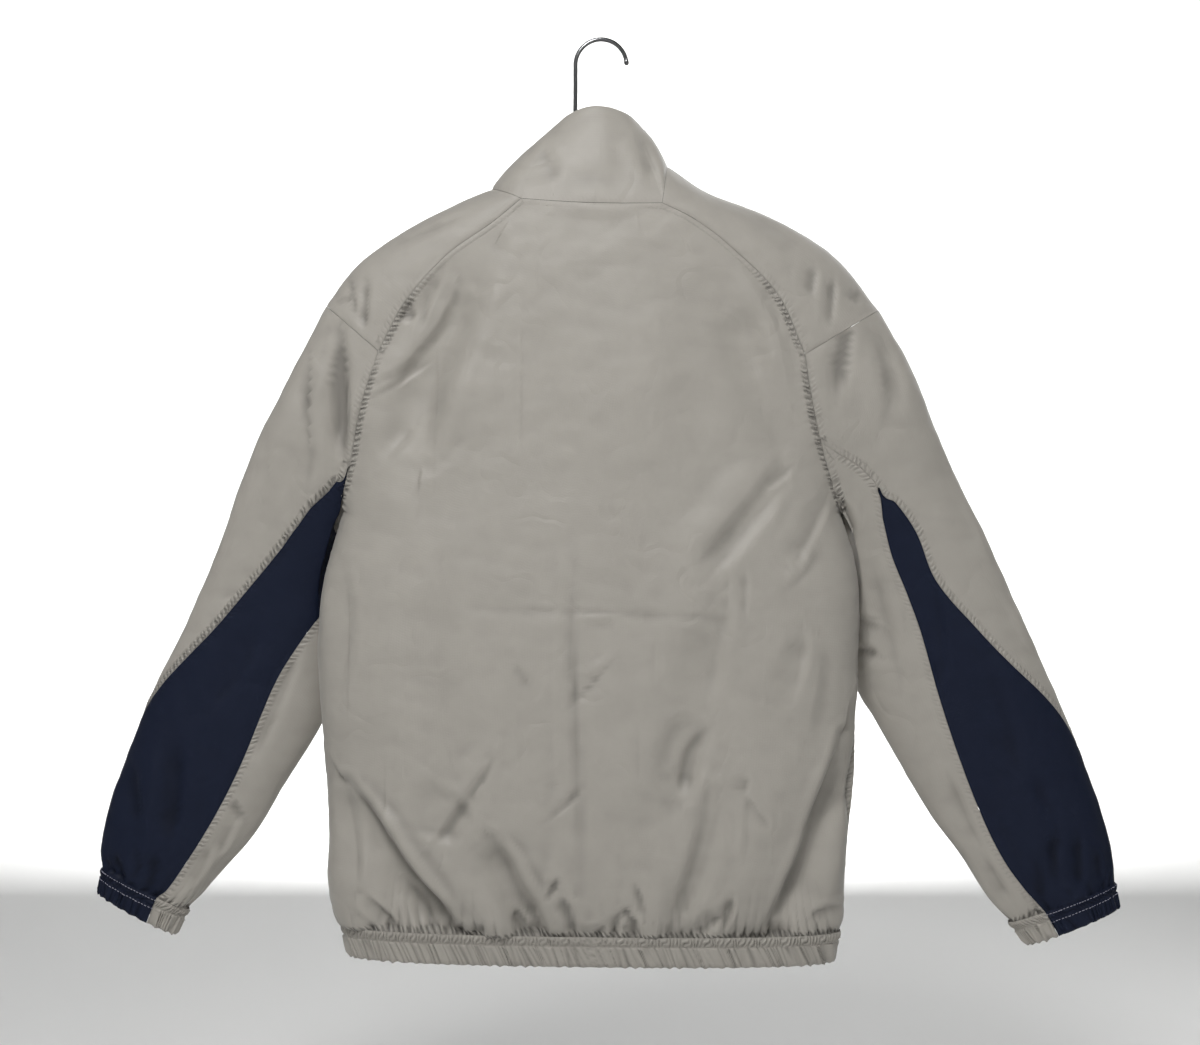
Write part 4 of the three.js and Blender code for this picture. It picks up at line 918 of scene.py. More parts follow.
    def clear_of_body(self, points: Array) -> Array:
        """Moves places on a sleeve out of the body, with room to spare."""
        top = UNDERARM_Z + 14
        z = points[..., 2]
        low = z <= top
        middle_y = self.seam_y(z)
        room = SLEEVE_CLEAR * smooth((top - z) / 30)
        left, right = self.body["left"](z), self.body["right"](z)
        centre, a = (right + left) / 2, (right - left) / 2 + room
        boxy = 0.8 * smooth((z + 620) / 150)
        moved = points.copy()
        for _ in range(12):
            x = (moved[..., 0] - centre) / a
            front = moved[..., 1] > middle_y
            face_y = np.where(front, self.body["front"](z), self.body["back"](z))
            b = np.abs(face_y - middle_y) + room
            y = (moved[..., 1] - middle_y) / b
            n = np.where(front, FULLNESS["front"], FULLNESS["back"]) + boxy
            short = 1 - np.abs(x) ** n - np.abs(y) ** n
            low &= short > 0.001
            way_x = np.sign(x) * (n / a) * np.abs(x) ** (n - 1)
            way_y = np.where(y < 0, -1, 1) * (n / b) * np.maximum(0.05, np.abs(y)) ** (n - 1)
            size = np.hypot(way_x, way_y)
            step = np.where(low, np.minimum(3, short / size) / size, 0)
            moved[..., 0] += way_x * step
            moved[..., 1] += way_y * step
        return moved

    def sleeve_row(self, side: str, at: float, turns: Array) -> Array:
        """A row of a sleeve's surface.

        Args:
            side: left or right.
            at: The section's number, 0 at the armhole.
            turns: Degrees from the outer edge over the back.

        Returns:
            The row's points.
        """
        a = np.radians(turns)
        c, s = np.cos(a), np.sin(a)
        power = 2 / SLEEVE_FULLNESS
        share = (1 - np.sign(c) * np.abs(c) ** power) / 2
        bulge = np.sign(s) * np.abs(s) ** power
        points = [self.armhole(side, turns)]
        for out_x, out_z, out_y, in_x, in_z, in_y, half, *_ in SLEEVE[side].rows:
            y = mix(out_y, in_y, share) - half * bulge
            points.append(places(mix(out_x, in_x, share), y, mix(out_z, in_z, share)))
        line = np.asarray(points)
        steps = np.diff(line, axis=0)
        gaps = np.linalg.norm(steps, axis=-1, keepdims=True)
        ways = np.concatenate([steps[:1] / gaps[:1], np.zeros_like(steps[1:]), steps[-1:] / gaps[-1:]])
        both = gaps[:-1] + gaps[1:]
        ways[1:-1] = steps[:-1] / gaps[:-1] * gaps[1:] / both + steps[1:] / gaps[1:] * gaps[:-1] / both
        i = min(len(line) - 2, int(at))
        t = at - i
        ease = t * t * (3 - 2 * t)
        row = line[i] * (1 - ease) + line[i + 1] * ease
        row = row + ways[i] * gaps[i] * t * (1 - t) ** 2 + ways[i + 1] * gaps[i] * t * t * (t - 1)
        return self.clear_of_body(row) if at > 0 else row

    @staticmethod
    def turn_of(share: float) -> float:
        """Gives the turn, in degrees, at a share of the way from the outer to the inner edge."""
        along = 1 - 2 * abs(share)
        c = math.copysign(abs(along) ** (SLEEVE_FULLNESS / 2), along)
        return math.copysign(math.degrees(math.acos(c)), share)

    def seam_turns(self, side: str, at: float) -> tuple[float, float, float]:
        """The turns of a sleeve's seams.

        Args:
            side: left or right.
            at: The section's number.

        Returns:
            The insert's upper and lower seam and the front seam.
        """
        rows = SLEEVE[side].rows
        knots = range(len(rows) + 1)
        upper = float(Curve(knots, [ARMHOLE_SEAM_TURN, *(self.turn_of(row[7]) for row in rows)])(at))
        lower = float(Curve(knots, [ARMHOLE_SEAM_TURN, *(self.turn_of(row[8]) for row in rows)])(at))
        fore = float(Curve(knots, [FORE_SEAM_TURN, *(360 - self.turn_of(row[9]) for row in rows)])(at))
        middle = (upper + lower) / 2
        tip = NAVY_TIP[side]
        opening = 1.0 if at >= tip else 0.0
        spread = float(np.clip((at - tip) / 0.6, 0, 1))
        lower_spread = float(np.clip((at - tip) / (0.15 if side == "left" else 0.6), 0, 1))
        return (
            min(mix(middle, upper, spread), middle - opening),
            max(mix(middle, lower, lower_spread), middle + opening),
            fore,
        )

    def sleeve(self, side: str) -> list[Panel]:
        """Makes a sleeve's top, under part and insert, from the armhole down."""
        stops = [0.0]
        for section, count in enumerate(SECTION_ROWS):
            stops += [section + (k + 1) / count for k in range(count)]
        step = 360 / (3 * ARMHOLE_ROWS * ARMHOLE_STEPS)
        counts = {
            "top": round((360 - FORE_SEAM_TURN + ARMHOLE_SEAM_TURN) / step),
            "under": round((FORE_SEAM_TURN - ARMHOLE_SEAM_TURN) / step),
            "insert": NAVY_COLUMNS,
        }
        rows = {part: [] for part in counts}
        turns = {part: [] for part in counts}
        for at in stops:
            upper, lower, fore = self.seam_turns(side, at)
            spans = {"top": (fore - 360, upper), "under": (lower, fore), "insert": (upper, lower)}
            for part, (start, end) in spans.items():
                if part == "insert" and at < NAVY_TIP[side] - 1e-6:
                    continue
                turn = np.linspace(start, end, counts[part] + 1)
                turns[part].append(turn)
                rows[part].append(self.sleeve_row(side, at, turn))
        first = 700 if side == "left" else 1400
        panels = []
        for part in counts:
            grid = np.asarray(rows[part])
            down = run_lengths(grid, 0)
            across = np.mod(np.asarray(turns[part]), 360) / 360 * CUFF_ROUND + first
            place = np.asarray(stops[len(stops) - len(grid):])
            panels.append(Panel(f"sleeve_{part}_{side}", grid, place, across, down[-1] - down))
        return panels

    def hem_ring(self, share: Array, down: Array) -> tuple[Array, Array]:
        """The hem's plain form.

        Args:
            share: Shares of the way round, from the zip over the left side.
            down: Distances below the hem seam.

        Returns:
            The points, and the way out from them.
        """
        z = HEM_SEAM_Z - down

        def ring(at: Array) -> Array:
            """Gives points of the level section at shares of the whole turn."""
            turn = at * 2
            front_t = np.where(turn < 1, 0.5 - turn, 2.5 - turn)
            front = self.level_section(z, front_t, "front")
            back = self.level_section(z, turn - 0.5, "back")
            return np.where(((turn < 0.5) | (turn > 1.5))[..., None], front, back)

        margin = FRONT_EDGE / (2 * math.pi * 190)
        at = mix(margin, 1 - margin, share)
        points = ring(at)
        ahead = ring(np.minimum(1, at + 0.002)) - ring(np.maximum(0, at - 0.002))
        points[..., 2] = z + HEM_TILT * (points[..., 0] - CENTRE_X)
        return points, unit(places(ahead[..., 1], -ahead[..., 0], np.zeros_like(at)))

    def cuff_ring(self, side: str, turns: Array, down: Array) -> tuple[Array, Array]:
        """A cuff's plain form.

        Args:
            side: left or right.
            turns: Degrees from the outer edge over the back.
            down: Distances below the cuff's seam.

        Returns:
            The points, and the way out from them.
        """
        a, b = (np.asarray(SLEEVE[side].rows[k]) for k in (CUFF_SECTION - 1, CUFF_SECTION))
        middle = (a[[0, 1]] + a[[3, 4]]) / 2 - (b[[0, 1]] + b[[3, 4]]) / 2
        row = [mix(a[k], b[k], down / np.hypot(*middle)) for k in range(7)]
        out_x, out_z, out_y, in_x, in_z, in_y, half = row
        angle = np.radians(turns)
        c, s = np.cos(angle), np.sin(angle)
        power = 2 / SLEEVE_FULLNESS
        share = (1 - np.sign(c) * np.abs(c) ** power) / 2
        bulge = np.sign(s) * np.abs(s) ** power
        y = mix(out_y, in_y, share) - half * bulge
        points = places(mix(out_x, in_x, share), y, mix(out_z, in_z, share))
        across = places(out_x - in_x, np.zeros_like(half), out_z - in_z)
        size = np.linalg.norm(across, axis=-1, keepdims=True)
        out = across / size * (half[..., None] * c[..., None]) / (size / 2)
        out[..., 1] = -s
        return points, unit(out)

    def neck_seam(self, panels: dict[str, Panel]) -> Array:
        """Gives the neck seam from the zip round the back to the zip again."""
        return np.concatenate([
            panels["front_left"].rows[-1],
            panels["shoulder_left"].rows[0][::-1][1:],
            panels["back"].rows[-1][1:],
            panels["shoulder_right"].rows[0][1:],
            panels["front_right"].rows[-1][::-1][1:],
        ])

    def collar(self, base: Array) -> Panel:
        """Makes the stand collar over the neck seam.

        Args:
            base: The neck seam's points.

        Returns:
            The collar's outer layer, from the seam up.
        """
        top = COLLAR_TOP
        middle, half = (top.left + top.right) / 2, (top.right - top.left) / 2
        run = run_lengths(base[None], 1)[0]
        share = run / run[-1]
        turn = np.pi * (1 - 2 * share)
        reach = np.cos(turn)
        rising = np.maximum(reach, 0)
        falling = np.maximum(-reach, 0)
        behind = mix(top.side_z, top.back_z, rising**1.3)
        z = np.where(reach > 0, behind, mix(top.side_z, top.front_z, falling))
        behind = mix(top.middle_y, top.back_y, rising)
        y = np.where(reach > 0, behind, mix(top.middle_y, top.front_y, falling))
        tuck = 1 - 0.16 * np.exp(-(((np.abs(turn) - 2.2) / 0.3) ** 2))
        x = middle - half * np.sin(turn) * tuck
        zip_edge = smooth(1 - np.minimum(share, 1 - share) * 12)
        edge = places(mix(x, base[:, 0], zip_edge), y, z)
        t = np.linspace(0, 1, COLLAR_ROWS + 1)[:, None]
        stand = mix(t, np.sin(t * np.pi / 2), 0.35)
        rows = places(
            mix(base[None, :, 0], edge[None, :, 0], t**1.15),
            mix(base[None, :, 1], edge[None, :, 1], t),
            mix(base[None, :, 2], edge[None, :, 2], stand),
        )
        far = np.full(rows.shape[:2], 1e3)
        return Panel("collar", rows, t[:, 0], far, far)

    def round_the_neck(self) -> dict[str, Panel]:
        """Makes the plain panels that meet at the neck seam, by name."""
        made = {"back": self.back()}
        for form in (self.front, self.saddle_panel):
            for side in ("left", "right"):
                panel = form(side)
                made[panel.name] = panel
        return made

    def panels(self) -> dict[str, Panel]:
        """Makes every panel, with its faces outwards and its normals shared along the seams."""
        made = self.round_the_neck()
        made["collar"] = self.collar(self.neck_seam(made))
        for side in ("left", "right"):
            made.update({p.name: p for p in self.sleeve(side)})
        hearts = {"collar": (0, 10, -130), "shoulder_left": (-130, 0, -260), "shoulder_right": (120, 0, -260)}
        for name, panel in list(made.items()):
            heart = np.asarray(hearts.get(name, (CENTRE_X, 0, -480)), float)
            if name.startswith("sleeve"):
                row = SLEEVE[name.split("_")[-1]].rows[5]
                heart = np.asarray([(row[0] + row[3]) / 2, (row[2] + row[5]) / 2, (row[1] + row[4]) / 2])
            i, j = panel.rows.shape[0] // 2, panel.rows.shape[1] // 2
            outward = float(np.sum(panel.own_normals()[i, j] * (panel.rows[i, j] - heart)))
            made[name] = panel if outward > 0 else panel.reversed()
        self.share_normals(made)
        return made

    @staticmethod
    def share_normals(panels: dict[str, Panel]) -> None:
        """Sets each panel's way out, the same on both sides of a seam."""
        keys, sums, homes = [], [], []
        for name, panel in panels.items():
            panel.out = panel.own_normals()
            rim = np.zeros(panel.rows.shape[:2], bool)
            rim[[0, -1]] = True
            rim[:, [0, -1]] = True
            spots = np.argwhere(rim)
            keys.append(np.round(panel.rows[rim] * 20).astype(np.int64))
            sums.append(panel.out[rim])
            homes += [(name, i, j) for i, j in spots]
        _, group = np.unique(np.concatenate(keys), axis=0, return_inverse=True)
        group = group.reshape(-1)
        total = np.zeros((group.max() + 1, 3))
        np.add.at(total, group, np.concatenate(sums))
        for k, (name, i, j) in zip(group, homes):
            panels[name].out[i, j] = total[k]
        for panel in panels.values():
            panel.out = unit(panel.out)


class SeamMap:
    """Where the seams are, and how far each place is from the nearest."""

    def __init__(self) -> None:
        """Starts with no seams."""
        self.points: list[Array] = []
        self.runs: list[Array] = []
        self.tightness: list[Array] = []
        self.grooves: list[Array] = []

    def add(self, line: Array, start: float, tight: float | Array, groove: float = 1.0) -> None:
        """Adds a seam.

        Args:
            line: Its points.
            start: The length that its run starts from, so that no two seams pucker alike.
            tight: How much it puckers the cloth, one value or one for each point.
            groove: How much it sinks into the cloth.
        """
        fine = np.linspace(0, len(line) - 1, (len(line) - 1) * 3 + 1)
        whole = np.arange(len(line))
        dense = np.stack([np.interp(fine, whole, line[:, k]) for k in range(3)], axis=-1)
        self.points.append(dense)
        self.runs.append(run_lengths(dense[None], 1)[0] + start)
        self.tightness.append(np.interp(fine, whole, np.broadcast_to(tight, len(line))))
        self.grooves.append(np.full(len(dense), groove))

    def nearest(self, places_mm: Array) -> tuple[Array, Array, Array, Array]:
        """Finds the nearest seam to each place.

        Args:
            places_mm: A grid of points.

        Returns:
            The distances, the runs along the seams, how much they pucker and how much they sink in.
        """
        points = np.concatenate(self.points)
        tree = KDTree(len(points))
        for k, point in enumerate(points):
            tree.insert(point, k)
        tree.balance()
        found = [tree.find(place)[1:] for place in places_mm.reshape(-1, 3)]
        index = np.asarray([item[0] for item in found])
        shape = places_mm.shape[:2]
        distance = np.asarray([item[1] for item in found]).reshape(shape)
        kept = (self.runs, self.tightness, self.grooves)
        runs, tight, groove = (np.concatenate(values)[index].reshape(shape) for values in kept)
        return distance, runs, tight, groove


@dataclass(frozen=True)
class SeamRelief:
    """The relief of a sewn and topstitched seam."""

    dent: float = 0.55
    dent_wide: float = 1.5
    ridge: float = 0.12
    stitch_at: float = 4.6
    groove: float = 0.2
    pucker: float = 0.5
    pucker_pitch: float = 9.0
    pucker_wide: float = 9.0

    def height(self, distance: Array, run: Array, tight: Array, groove: Array) -> Array:
        """Heights beside a seam.

        Args:
            distance: Each place's distance from it.
            run: The length along it.
            tight: How much it puckers there.
            groove: How much it sinks in there.

        Returns:
            The heights.
        """
        total = -self.dent * np.exp(-((distance / self.dent_wide) ** 2))
        total += self.ridge * np.exp(-(((distance - 3.4) / 2.0) ** 2))
        total -= self.groove * np.exp(-(((distance - self.stitch_at) / 1.2) ** 2))
        total *= groove
        wave = wobble(run, self.pucker_pitch, 11) + 0.35 * wobble(run + distance, 2.4 * self.pucker_pitch, 12)
        total += self.pucker * tight * wave * np.exp(-((distance / self.pucker_wide) ** 2))
        return total


class CraftedMaterial:
    """A material that is built node by node on the piece's own coordinates."""

    def __init__(self, name: str) -> None:
        """Makes an empty material with a shader and an output."""
        self.material = bpy.data.materials.new(name)
        self.material.use_nodes = True
        self.tree = self.material.node_tree
        self.tree.nodes.clear()
        self.shader = self.node("ShaderNodeBsdfPrincipled")
        output = self.node("ShaderNodeOutputMaterial")
        self.tree.links.new(self.shader.outputs["BSDF"], output.inputs["Surface"])
        self.where = self.node("ShaderNodeTexCoord").outputs

    def node(self, kind: str, **inputs: float | Colour | Socket) -> bpy.types.Node:
        """Adds a node.

        Args:
            kind: The node's type.
            **inputs: Values or outputs for its inputs, with _ for a space in a name.

        Returns:
            The node.
        """
        made = self.tree.nodes.new(kind)
        for key, value in inputs.items():
            socket = made.inputs[key.replace("_", " ")]
            if isinstance(value, bpy.types.NodeSocket):
                self.tree.links.new(value, socket)
            else:
                socket.default_value = value
        return made

    def noise(self, scale: float, detail: float = 3.0, rough: float = 0.55, on: str = "Object") -> Socket:
        """Adds uneven noise.

        Args:
            scale: Its features to a metre.
            detail: Its finer layers.
            rough: How strong they are.
            on: The coordinates that it lies on.

        Returns:
            Its value.
        """
        made = self.node(
            "ShaderNodeTexNoise", Vector=self.where[on], Scale=scale, Detail=detail, Roughness=rough,
        )
        return made.outputs["Fac"]

    def weave(self, threads: float, along: str) -> Socket:
        """Adds fine threads on the piece's cut.

        Args:
            threads: Threads to a metre.
            along: X or Y, the way that they are counted.

        Returns:
            Their height.
        """
        made = self.node("ShaderNodeTexWave", Vector=self.where["UV"], Scale=threads / 20, Distortion=0.0)
        made.bands_direction = along
        return made.outputs["Fac"]

    def math(self, operation: str, *values: float | Socket) -> Socket:
        """Adds a sum and gives its result.

        Args:
            operation: What is done.
            *values: What it is done to.

        Returns:
            The result.
        """
        made = self.node("ShaderNodeMath")
        made.operation = operation
        for socket, value in zip(made.inputs, values):
            if isinstance(value, bpy.types.NodeSocket):
                self.tree.links.new(value, socket)
            else:
                socket.default_value = value
        return made.outputs[0]

    def puckers(self, pitch: float, reach: float) -> Socket:
        """Adds short uneven puckers that stand off the nearest seam.

        Args:
            pitch: The distance from one to the next in millimetres.
            reach: How far they reach from the seam in millimetres.

        Returns:
            Their height.
        """
        stored = self.node("ShaderNodeAttribute")
        stored.attribute_name = "seam"
        part = self.node("ShaderNodeSeparateXYZ", Vector=stored.outputs["Vector"]).outputs
        run = self.math("MULTIPLY_ADD", part["Y"], 0.5, part["X"])
        away = self.math("MULTIPLY", part["Y"], 0.35)
        at = self.node("ShaderNodeCombineXYZ", X=run, Y=away).outputs["Vector"]
        noise = self.node(
            "ShaderNodeTexNoise", Vector=at, Scale=0.45 / (pitch * METRE), Detail=2.0, Roughness=0.5,
        ).outputs["Fac"]
        drift = self.math("MULTIPLY", noise, 11.0)
        turn = self.math("MULTIPLY_ADD", run, 2 * math.pi / (pitch * METRE), drift)
        bead = self.math("MULTIPLY", self.math("SINE", turn), noise)
        rise = self.ranged(part["Y"], (0.0, 1.4 * METRE), (0.15, 1.0))
        fade = self.ranged(part["Y"], (0.45 * reach * METRE, reach * METRE), (1.0, 0.0))
        fade.node.interpolation_type = "SMOOTHSTEP"
        weight = self.math("MULTIPLY", fade, self.math("MULTIPLY", rise, part["Z"]))
        return self.math("MULTIPLY_ADD", bead, weight, 0.5)

    def ranged(self, value: Socket, start: tuple[float, float], end: tuple[float, float]) -> Socket:
        """Maps values between two limits to values between two others."""
        limits = {"From_Min": start[0], "From_Max": start[1], "To_Min": end[0], "To_Max": end[1]}
        return self.node("ShaderNodeMapRange", Value=value, **limits).outputs["Result"]

    def crease_lines(self, scale: float) -> Socket:
        """Adds thin crisp creases that wander over the cloth.

        Args:
            scale: How many to a metre, about.

        Returns:
            Their height.
        """
        away = self.math("ABSOLUTE", self.math("SUBTRACT", self.noise(scale, 1.5, 0.5), 0.5))
        patches = self.math("SUBTRACT", self.noise(scale * 0.6, 1, 0.5), 0.42)
        deep = self.math("MINIMUM", self.math("MULTIPLY", away, 14.0), 1.0)
        weight = self.math("MINIMUM", self.math("MAXIMUM", self.math("MULTIPLY", patches, 5.0), 0.0), 1.0)
        return self.math("MULTIPLY", deep, weight)

    def bump(self, layers: list[tuple[Socket, float]]) -> None:
        """Lays layers of relief on the shader.

        Args:
            layers: Heights from 0 to 1 and what each is worth in millimetres.
        """
        normal = None
        for height, worth in layers:
            made = self.node("ShaderNodeBump", Height=height, Distance=worth * METRE, Strength=1.0)
            if normal is not None:
                self.tree.links.new(normal, made.inputs["Normal"])
            normal = made.outputs["Normal"]
        self.tree.links.new(normal, self.shader.inputs["Normal"])

    def colour(
        self, base: Colour, spread: float, amount: Socket, beads: Socket | None = None, shade: float = 0.0,
    ) -> None:
        """Sets a colour that varies a little, with painted shade deep in sharp folds and between puckers.

        Args:
            base: Its linear red, green and blue.
            spread: How far it varies either way.
            amount: From 0 to 1, which way.
            beads: The puckers' height; the low places between them get painted shade.
            shade: How much painted shade darkens the bottom of a sharp fold and the gaps between puckers.
        """
        ramp = self.tree.nodes.new("ShaderNodeValToRGB")
        self.tree.links.new(amount, ramp.inputs["Fac"])
        for element, share, place in zip(ramp.color_ramp.elements, (1 - spread, 1 + spread), (0.3, 0.7)):
            element.position = place
            element.color = (*(min(1.0, value * share) for value in base), 1.0)
        colour = ramp.outputs["Color"]
        # Painted shade: the colour is scaled down where the hollow attribute marks a sharp fold, and in the
        # gaps between puckers.
        if beads is not None and shade:
            stored = self.node("ShaderNodeAttribute")
            stored.attribute_name = "hollow"
            fold = self.ranged(stored.outputs["Fac"], (0.0, 1.0), (1.0, 1.0 - shade))
            gap = self.ranged(beads, (0.15, 0.5), (1.0 - shade, 1.0))
            colour = self.node("ShaderNodeVectorMath", Vector=colour).outputs["Vector"]
            colour.node.operation = "SCALE"
            self.tree.links.new(self.math("MULTIPLY", fold, gap), colour.node.inputs["Scale"])
        self.tree.links.new(colour, self.shader.inputs["Base Color"])

    def set(self, **values: float | Colour) -> None:
        """Sets even values on the shader's own sockets, with _ for a space in a name."""
        for key, value in values.items():
            self.shader.inputs[key.replace("_", " ")].default_value = value


@dataclass(frozen=True)
class ClothFinish:
    """A woven shell cloth.

    Args:
        name: The material's name.
        slot: The record's slot that it fills; not used.
        colour: Its linear colour.
        roughness: Its roughness.
        sheen: How much its threads catch the light.
        spread: How much its colour varies.
        shine: How much its face reflects.
        shade: How much painted shade darkens it deep in a fold and between its puckers.
        crinkle: Depth of its small crinkles.
        pucker: Height of the puckers at its seams.
        threads: Threads to a metre.
    """

    name: str
    slot: str
    colour: Colour
    roughness: float
    sheen: float
    spread: float = 0.035
    shine: float = 0.3
    shade: float = 0.42
    crinkle: float = 0.5
    pucker: float = 1.45
    threads: float = 2600.0

    def build(self) -> bpy.types.Material:
        """Builds the material."""
        made = CraftedMaterial(self.name)
        beads = made.puckers(pitch=4.8, reach=8.0)
        # Colour that varies at random, with painted shade deep in folds and between puckers.
        made.colour(self.colour, self.spread, made.noise(28, 4, 0.6), beads, self.shade)
        made.set(Roughness=self.roughness, Specular_IOR_Level=self.shine)
        made.set(Sheen_Weight=self.sheen, Sheen_Roughness=0.45)
        made.bump([
            (beads, self.pucker),
            (made.noise(30, 2, 0.5), self.crinkle),
            (made.crease_lines(22), self.crinkle * 0.75),
            (made.noise(210, 3, 0.6), self.crinkle * 0.2),
            (made.weave(self.threads, "X"), 0.02),
            (made.weave(self.threads, "Y"), 0.02),
        ])
        return made.material


@dataclass(frozen=True)
class HardFinish:
    """A smooth metal or plastic.

    Args:
        name: The material's name.
        slot: The record's slot that it fills; not used.
        colour: Its linear colour.
        roughness: Its roughness.
        metal: 1 for metal and 0 for plastic.
        wear: Depth of its small marks.
    """

    name: str
    slot: str
    colour: Colour
    roughness: float
    metal: float
    wear: float = 0.03

    def build(self) -> bpy.types.Material:
        """Builds the material."""
        made = CraftedMaterial(self.name)
        made.colour(self.colour, 0.06, made.noise(120, 3, 0.6))
        made.set(Roughness=self.roughness, Metallic=self.metal)
        made.bump([(made.noise(420, 3, 0.6), self.wear)])
        return made.material


GREY_CLOTH = ClothFinish("grey shell cloth", "grey_cloth", (0.325, 0.306, 0.274), 0.5, 0.12)
NAVY_CLOTH = ClothFinish("navy shell cloth", "navy_cloth", (0.0066, 0.0102, 0.0245), 0.6, 0.0, shine=0.14)
GREY_THREAD = ClothFinish("grey thread", "grey_cloth", (0.3, 0.285, 0.25), 0.6, 0.2, crinkle=0.0, shade=0.0)
LILAC_THREAD = ClothFinish("pale thread", "navy_cloth", (0.33, 0.33, 0.4), 0.55, 0.2, crinkle=0.0, shade=0.0)
ZIP_TAPE = ClothFinish("zip tape", "zip_tape", (0.26, 0.25, 0.23), 0.75, 0.1, crinkle=0.1, shade=0.0)
ZIP_TEETH = HardFinish("zip teeth", "zip_teeth", (0.3, 0.29, 0.27), 0.38, 0.0)
SLIDER_METAL = HardFinish("slider metal", "slider_metal", (0.2, 0.2, 0.2), 0.32, 1.0)
HANGER_PLASTIC = HardFinish("hanger plastic", "hanger_plastic", (0.012, 0.012, 0.013), 0.36, 0.0)
HOOK_METAL = HardFinish("hook metal", "hook_metal", (0.17, 0.17, 0.175), 0.2, 1.0)


class Workroom:
    """Makes objects, gives them their finish and ties them to the frame."""

    def __init__(self) -> None:
        """Starts with no materials."""
        self.materials: dict[str, bpy.types.Material] = {}

    def material(self, finish: ClothFinish | HardFinish) -> bpy.types.Material:
        """Gives a finish's material, built once."""
        if finish.name not in self.materials:
            self.materials[finish.name] = finish.build()
        return self.materials[finish.name]

    def mesh_object(
        self, name: str, points: Array, faces: Array, finish: ClothFinish | HardFinish,
    ) -> bpy.types.Object:
        """Makes an object of points and faces.

        Args:
            name: Its name.
            points: Its points in millimetres.
            faces: Rows of three or four point numbers.
            finish: Its finish.

        Returns:
            The object, with smooth shading but for its sharp edges.
        """
        mesh = bpy.data.meshes.new(name)
        mesh.from_pydata((points * METRE).tolist(), [], faces.tolist())
        mesh.materials.append(self.material(finish))
        mesh.shade_smooth()
        mesh.set_sharp_from_angle(angle=math.radians(62))
        made = bpy.data.objects.new(name, mesh)
        bpy.context.scene.collection.objects.link(made)
        return made

    def sheet(self, name: str, grid: Array, out: Array, finish: ClothFinish, rim: float) -> bpy.types.Object:
        """Makes a cloth object of a grid, with its edges turned in.

        Args:
            name: Its name.
            grid: Points, rows by columns.
            out: The way out at each point.
            finish: Its finish.
            rim: How far the edges turn in; 0 for none.

        Returns:
            The object, with its cut as its UV map in metres.
        """
        rows, columns = grid.shape[:2]
        index = np.arange(rows * columns).reshape(rows, columns)
        around = [index[:-1, :-1], index[:-1, 1:], index[1:, 1:], index[1:, :-1]]
        faces = [np.stack(around, -1).reshape(-1, 4)]
        points = [grid.reshape(-1, 3)]
        flat = np.stack([run_lengths(grid, 1), run_lengths(grid, 0)], -1).reshape(-1, 2) * METRE
        cuts = [flat]
        if rim:
            loop = np.concatenate([index[0, ::-1], index[1:, 0], index[-1, 1:], index[-2:0:-1, -1]])
            inner = len(points[0]) + np.arange(len(loop))
            points.append(grid.reshape(-1, 3)[loop] - out.reshape(-1, 3)[loop] * rim)
            cuts.append(flat[loop])
            faces.append(np.stack([loop, np.roll(loop, -1), np.roll(inner, -1), inner], -1))
        made = self.mesh_object(name, np.concatenate(points), np.concatenate(faces), finish)
        layer = made.data.uv_layers.new(name="cut")
        used = np.zeros(len(made.data.loops), np.int32)
        made.data.loops.foreach_get("vertex_index", used)
        layer.data.foreach_set("uv", np.concatenate(cuts)[used].astype(np.float32).ravel())
        return made

    @staticmethod
    def shade(piece: bpy.types.Object, hollow: Array) -> None:
        """Stores how deep in a sharp fold each point of a piece lies, from 0 to 1, for painted shade in its
        colour.
        """
        depth = np.zeros(len(piece.data.vertices), np.float32)
        depth[:hollow.size] = np.clip(hollow, 0, 1).ravel()
        piece.data.attributes.new("hollow", "FLOAT", "POINT").data.foreach_set("value", depth)

    @staticmethod
    def strain(piece: bpy.types.Object, stress: Array) -> None:
        """Stores how the nearest seam draws on each point of a piece.

        Args:
            piece: The piece, whose first points are the grid's.
            stress: The run along the seam, the distance from it and how tight it is, for each point.
        """
        layer = piece.data.attributes.new("seam", "FLOAT_VECTOR", "POINT")
        values = np.zeros((len(piece.data.vertices), 3), np.float32)
        values[:, 1] = 1.0
        values[:stress.shape[0] * stress.shape[1]] = stress.reshape(-1, 3)
        layer.data.foreach_set("vector", values.ravel())

    @staticmethod
    def cut_size(grid: Array, allowance: float = 10.0) -> tuple[float, float, float]:
        """The cut of a piece before it was sewn.

        Args:
            grid: Its points.
            allowance: The seam allowance round it.

        Returns:
            Width, length and area in metres.
        """
        width = run_lengths(grid, 1)[:, -1].max()
        length = run_lengths(grid, 0)[-1].max()
        cross = np.cross(grid[1:, 1:] - grid[:-1, :-1], grid[1:, :-1] - grid[:-1, 1:])
        area = np.linalg.norm(cross, axis=-1).sum() / 2 + allowance * 2 * (width + length)
        width, length = width + 2 * allowance, length + 2 * allowance
        area = min(area, width * length)
        return float(width * METRE), float(length * METRE), float(area * METRE**2)

    def sew(self, piece: bpy.types.Object, nodes: tuple[str, ...], finish: ClothFinish | HardFinish) -> None:
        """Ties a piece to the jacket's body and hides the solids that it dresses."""
        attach(piece, BODY_NAME)
        if nodes:
            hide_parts(*nodes)
        LOG.info("%s: %d faces", piece.name, len(piece.data.polygons))

    def declare(
        self, piece: bpy.types.Object, cut: tuple[float, float, float], held: str, on: tuple[str, ...],
    ) -> None:
        """Reports a piece's cut."""
        width, length, area = cut
        size = (width / METRE, length / METRE, area)
        LOG.info("%s: cut %.0f x %.0f mm, %.4f square metres", piece.name, *size)


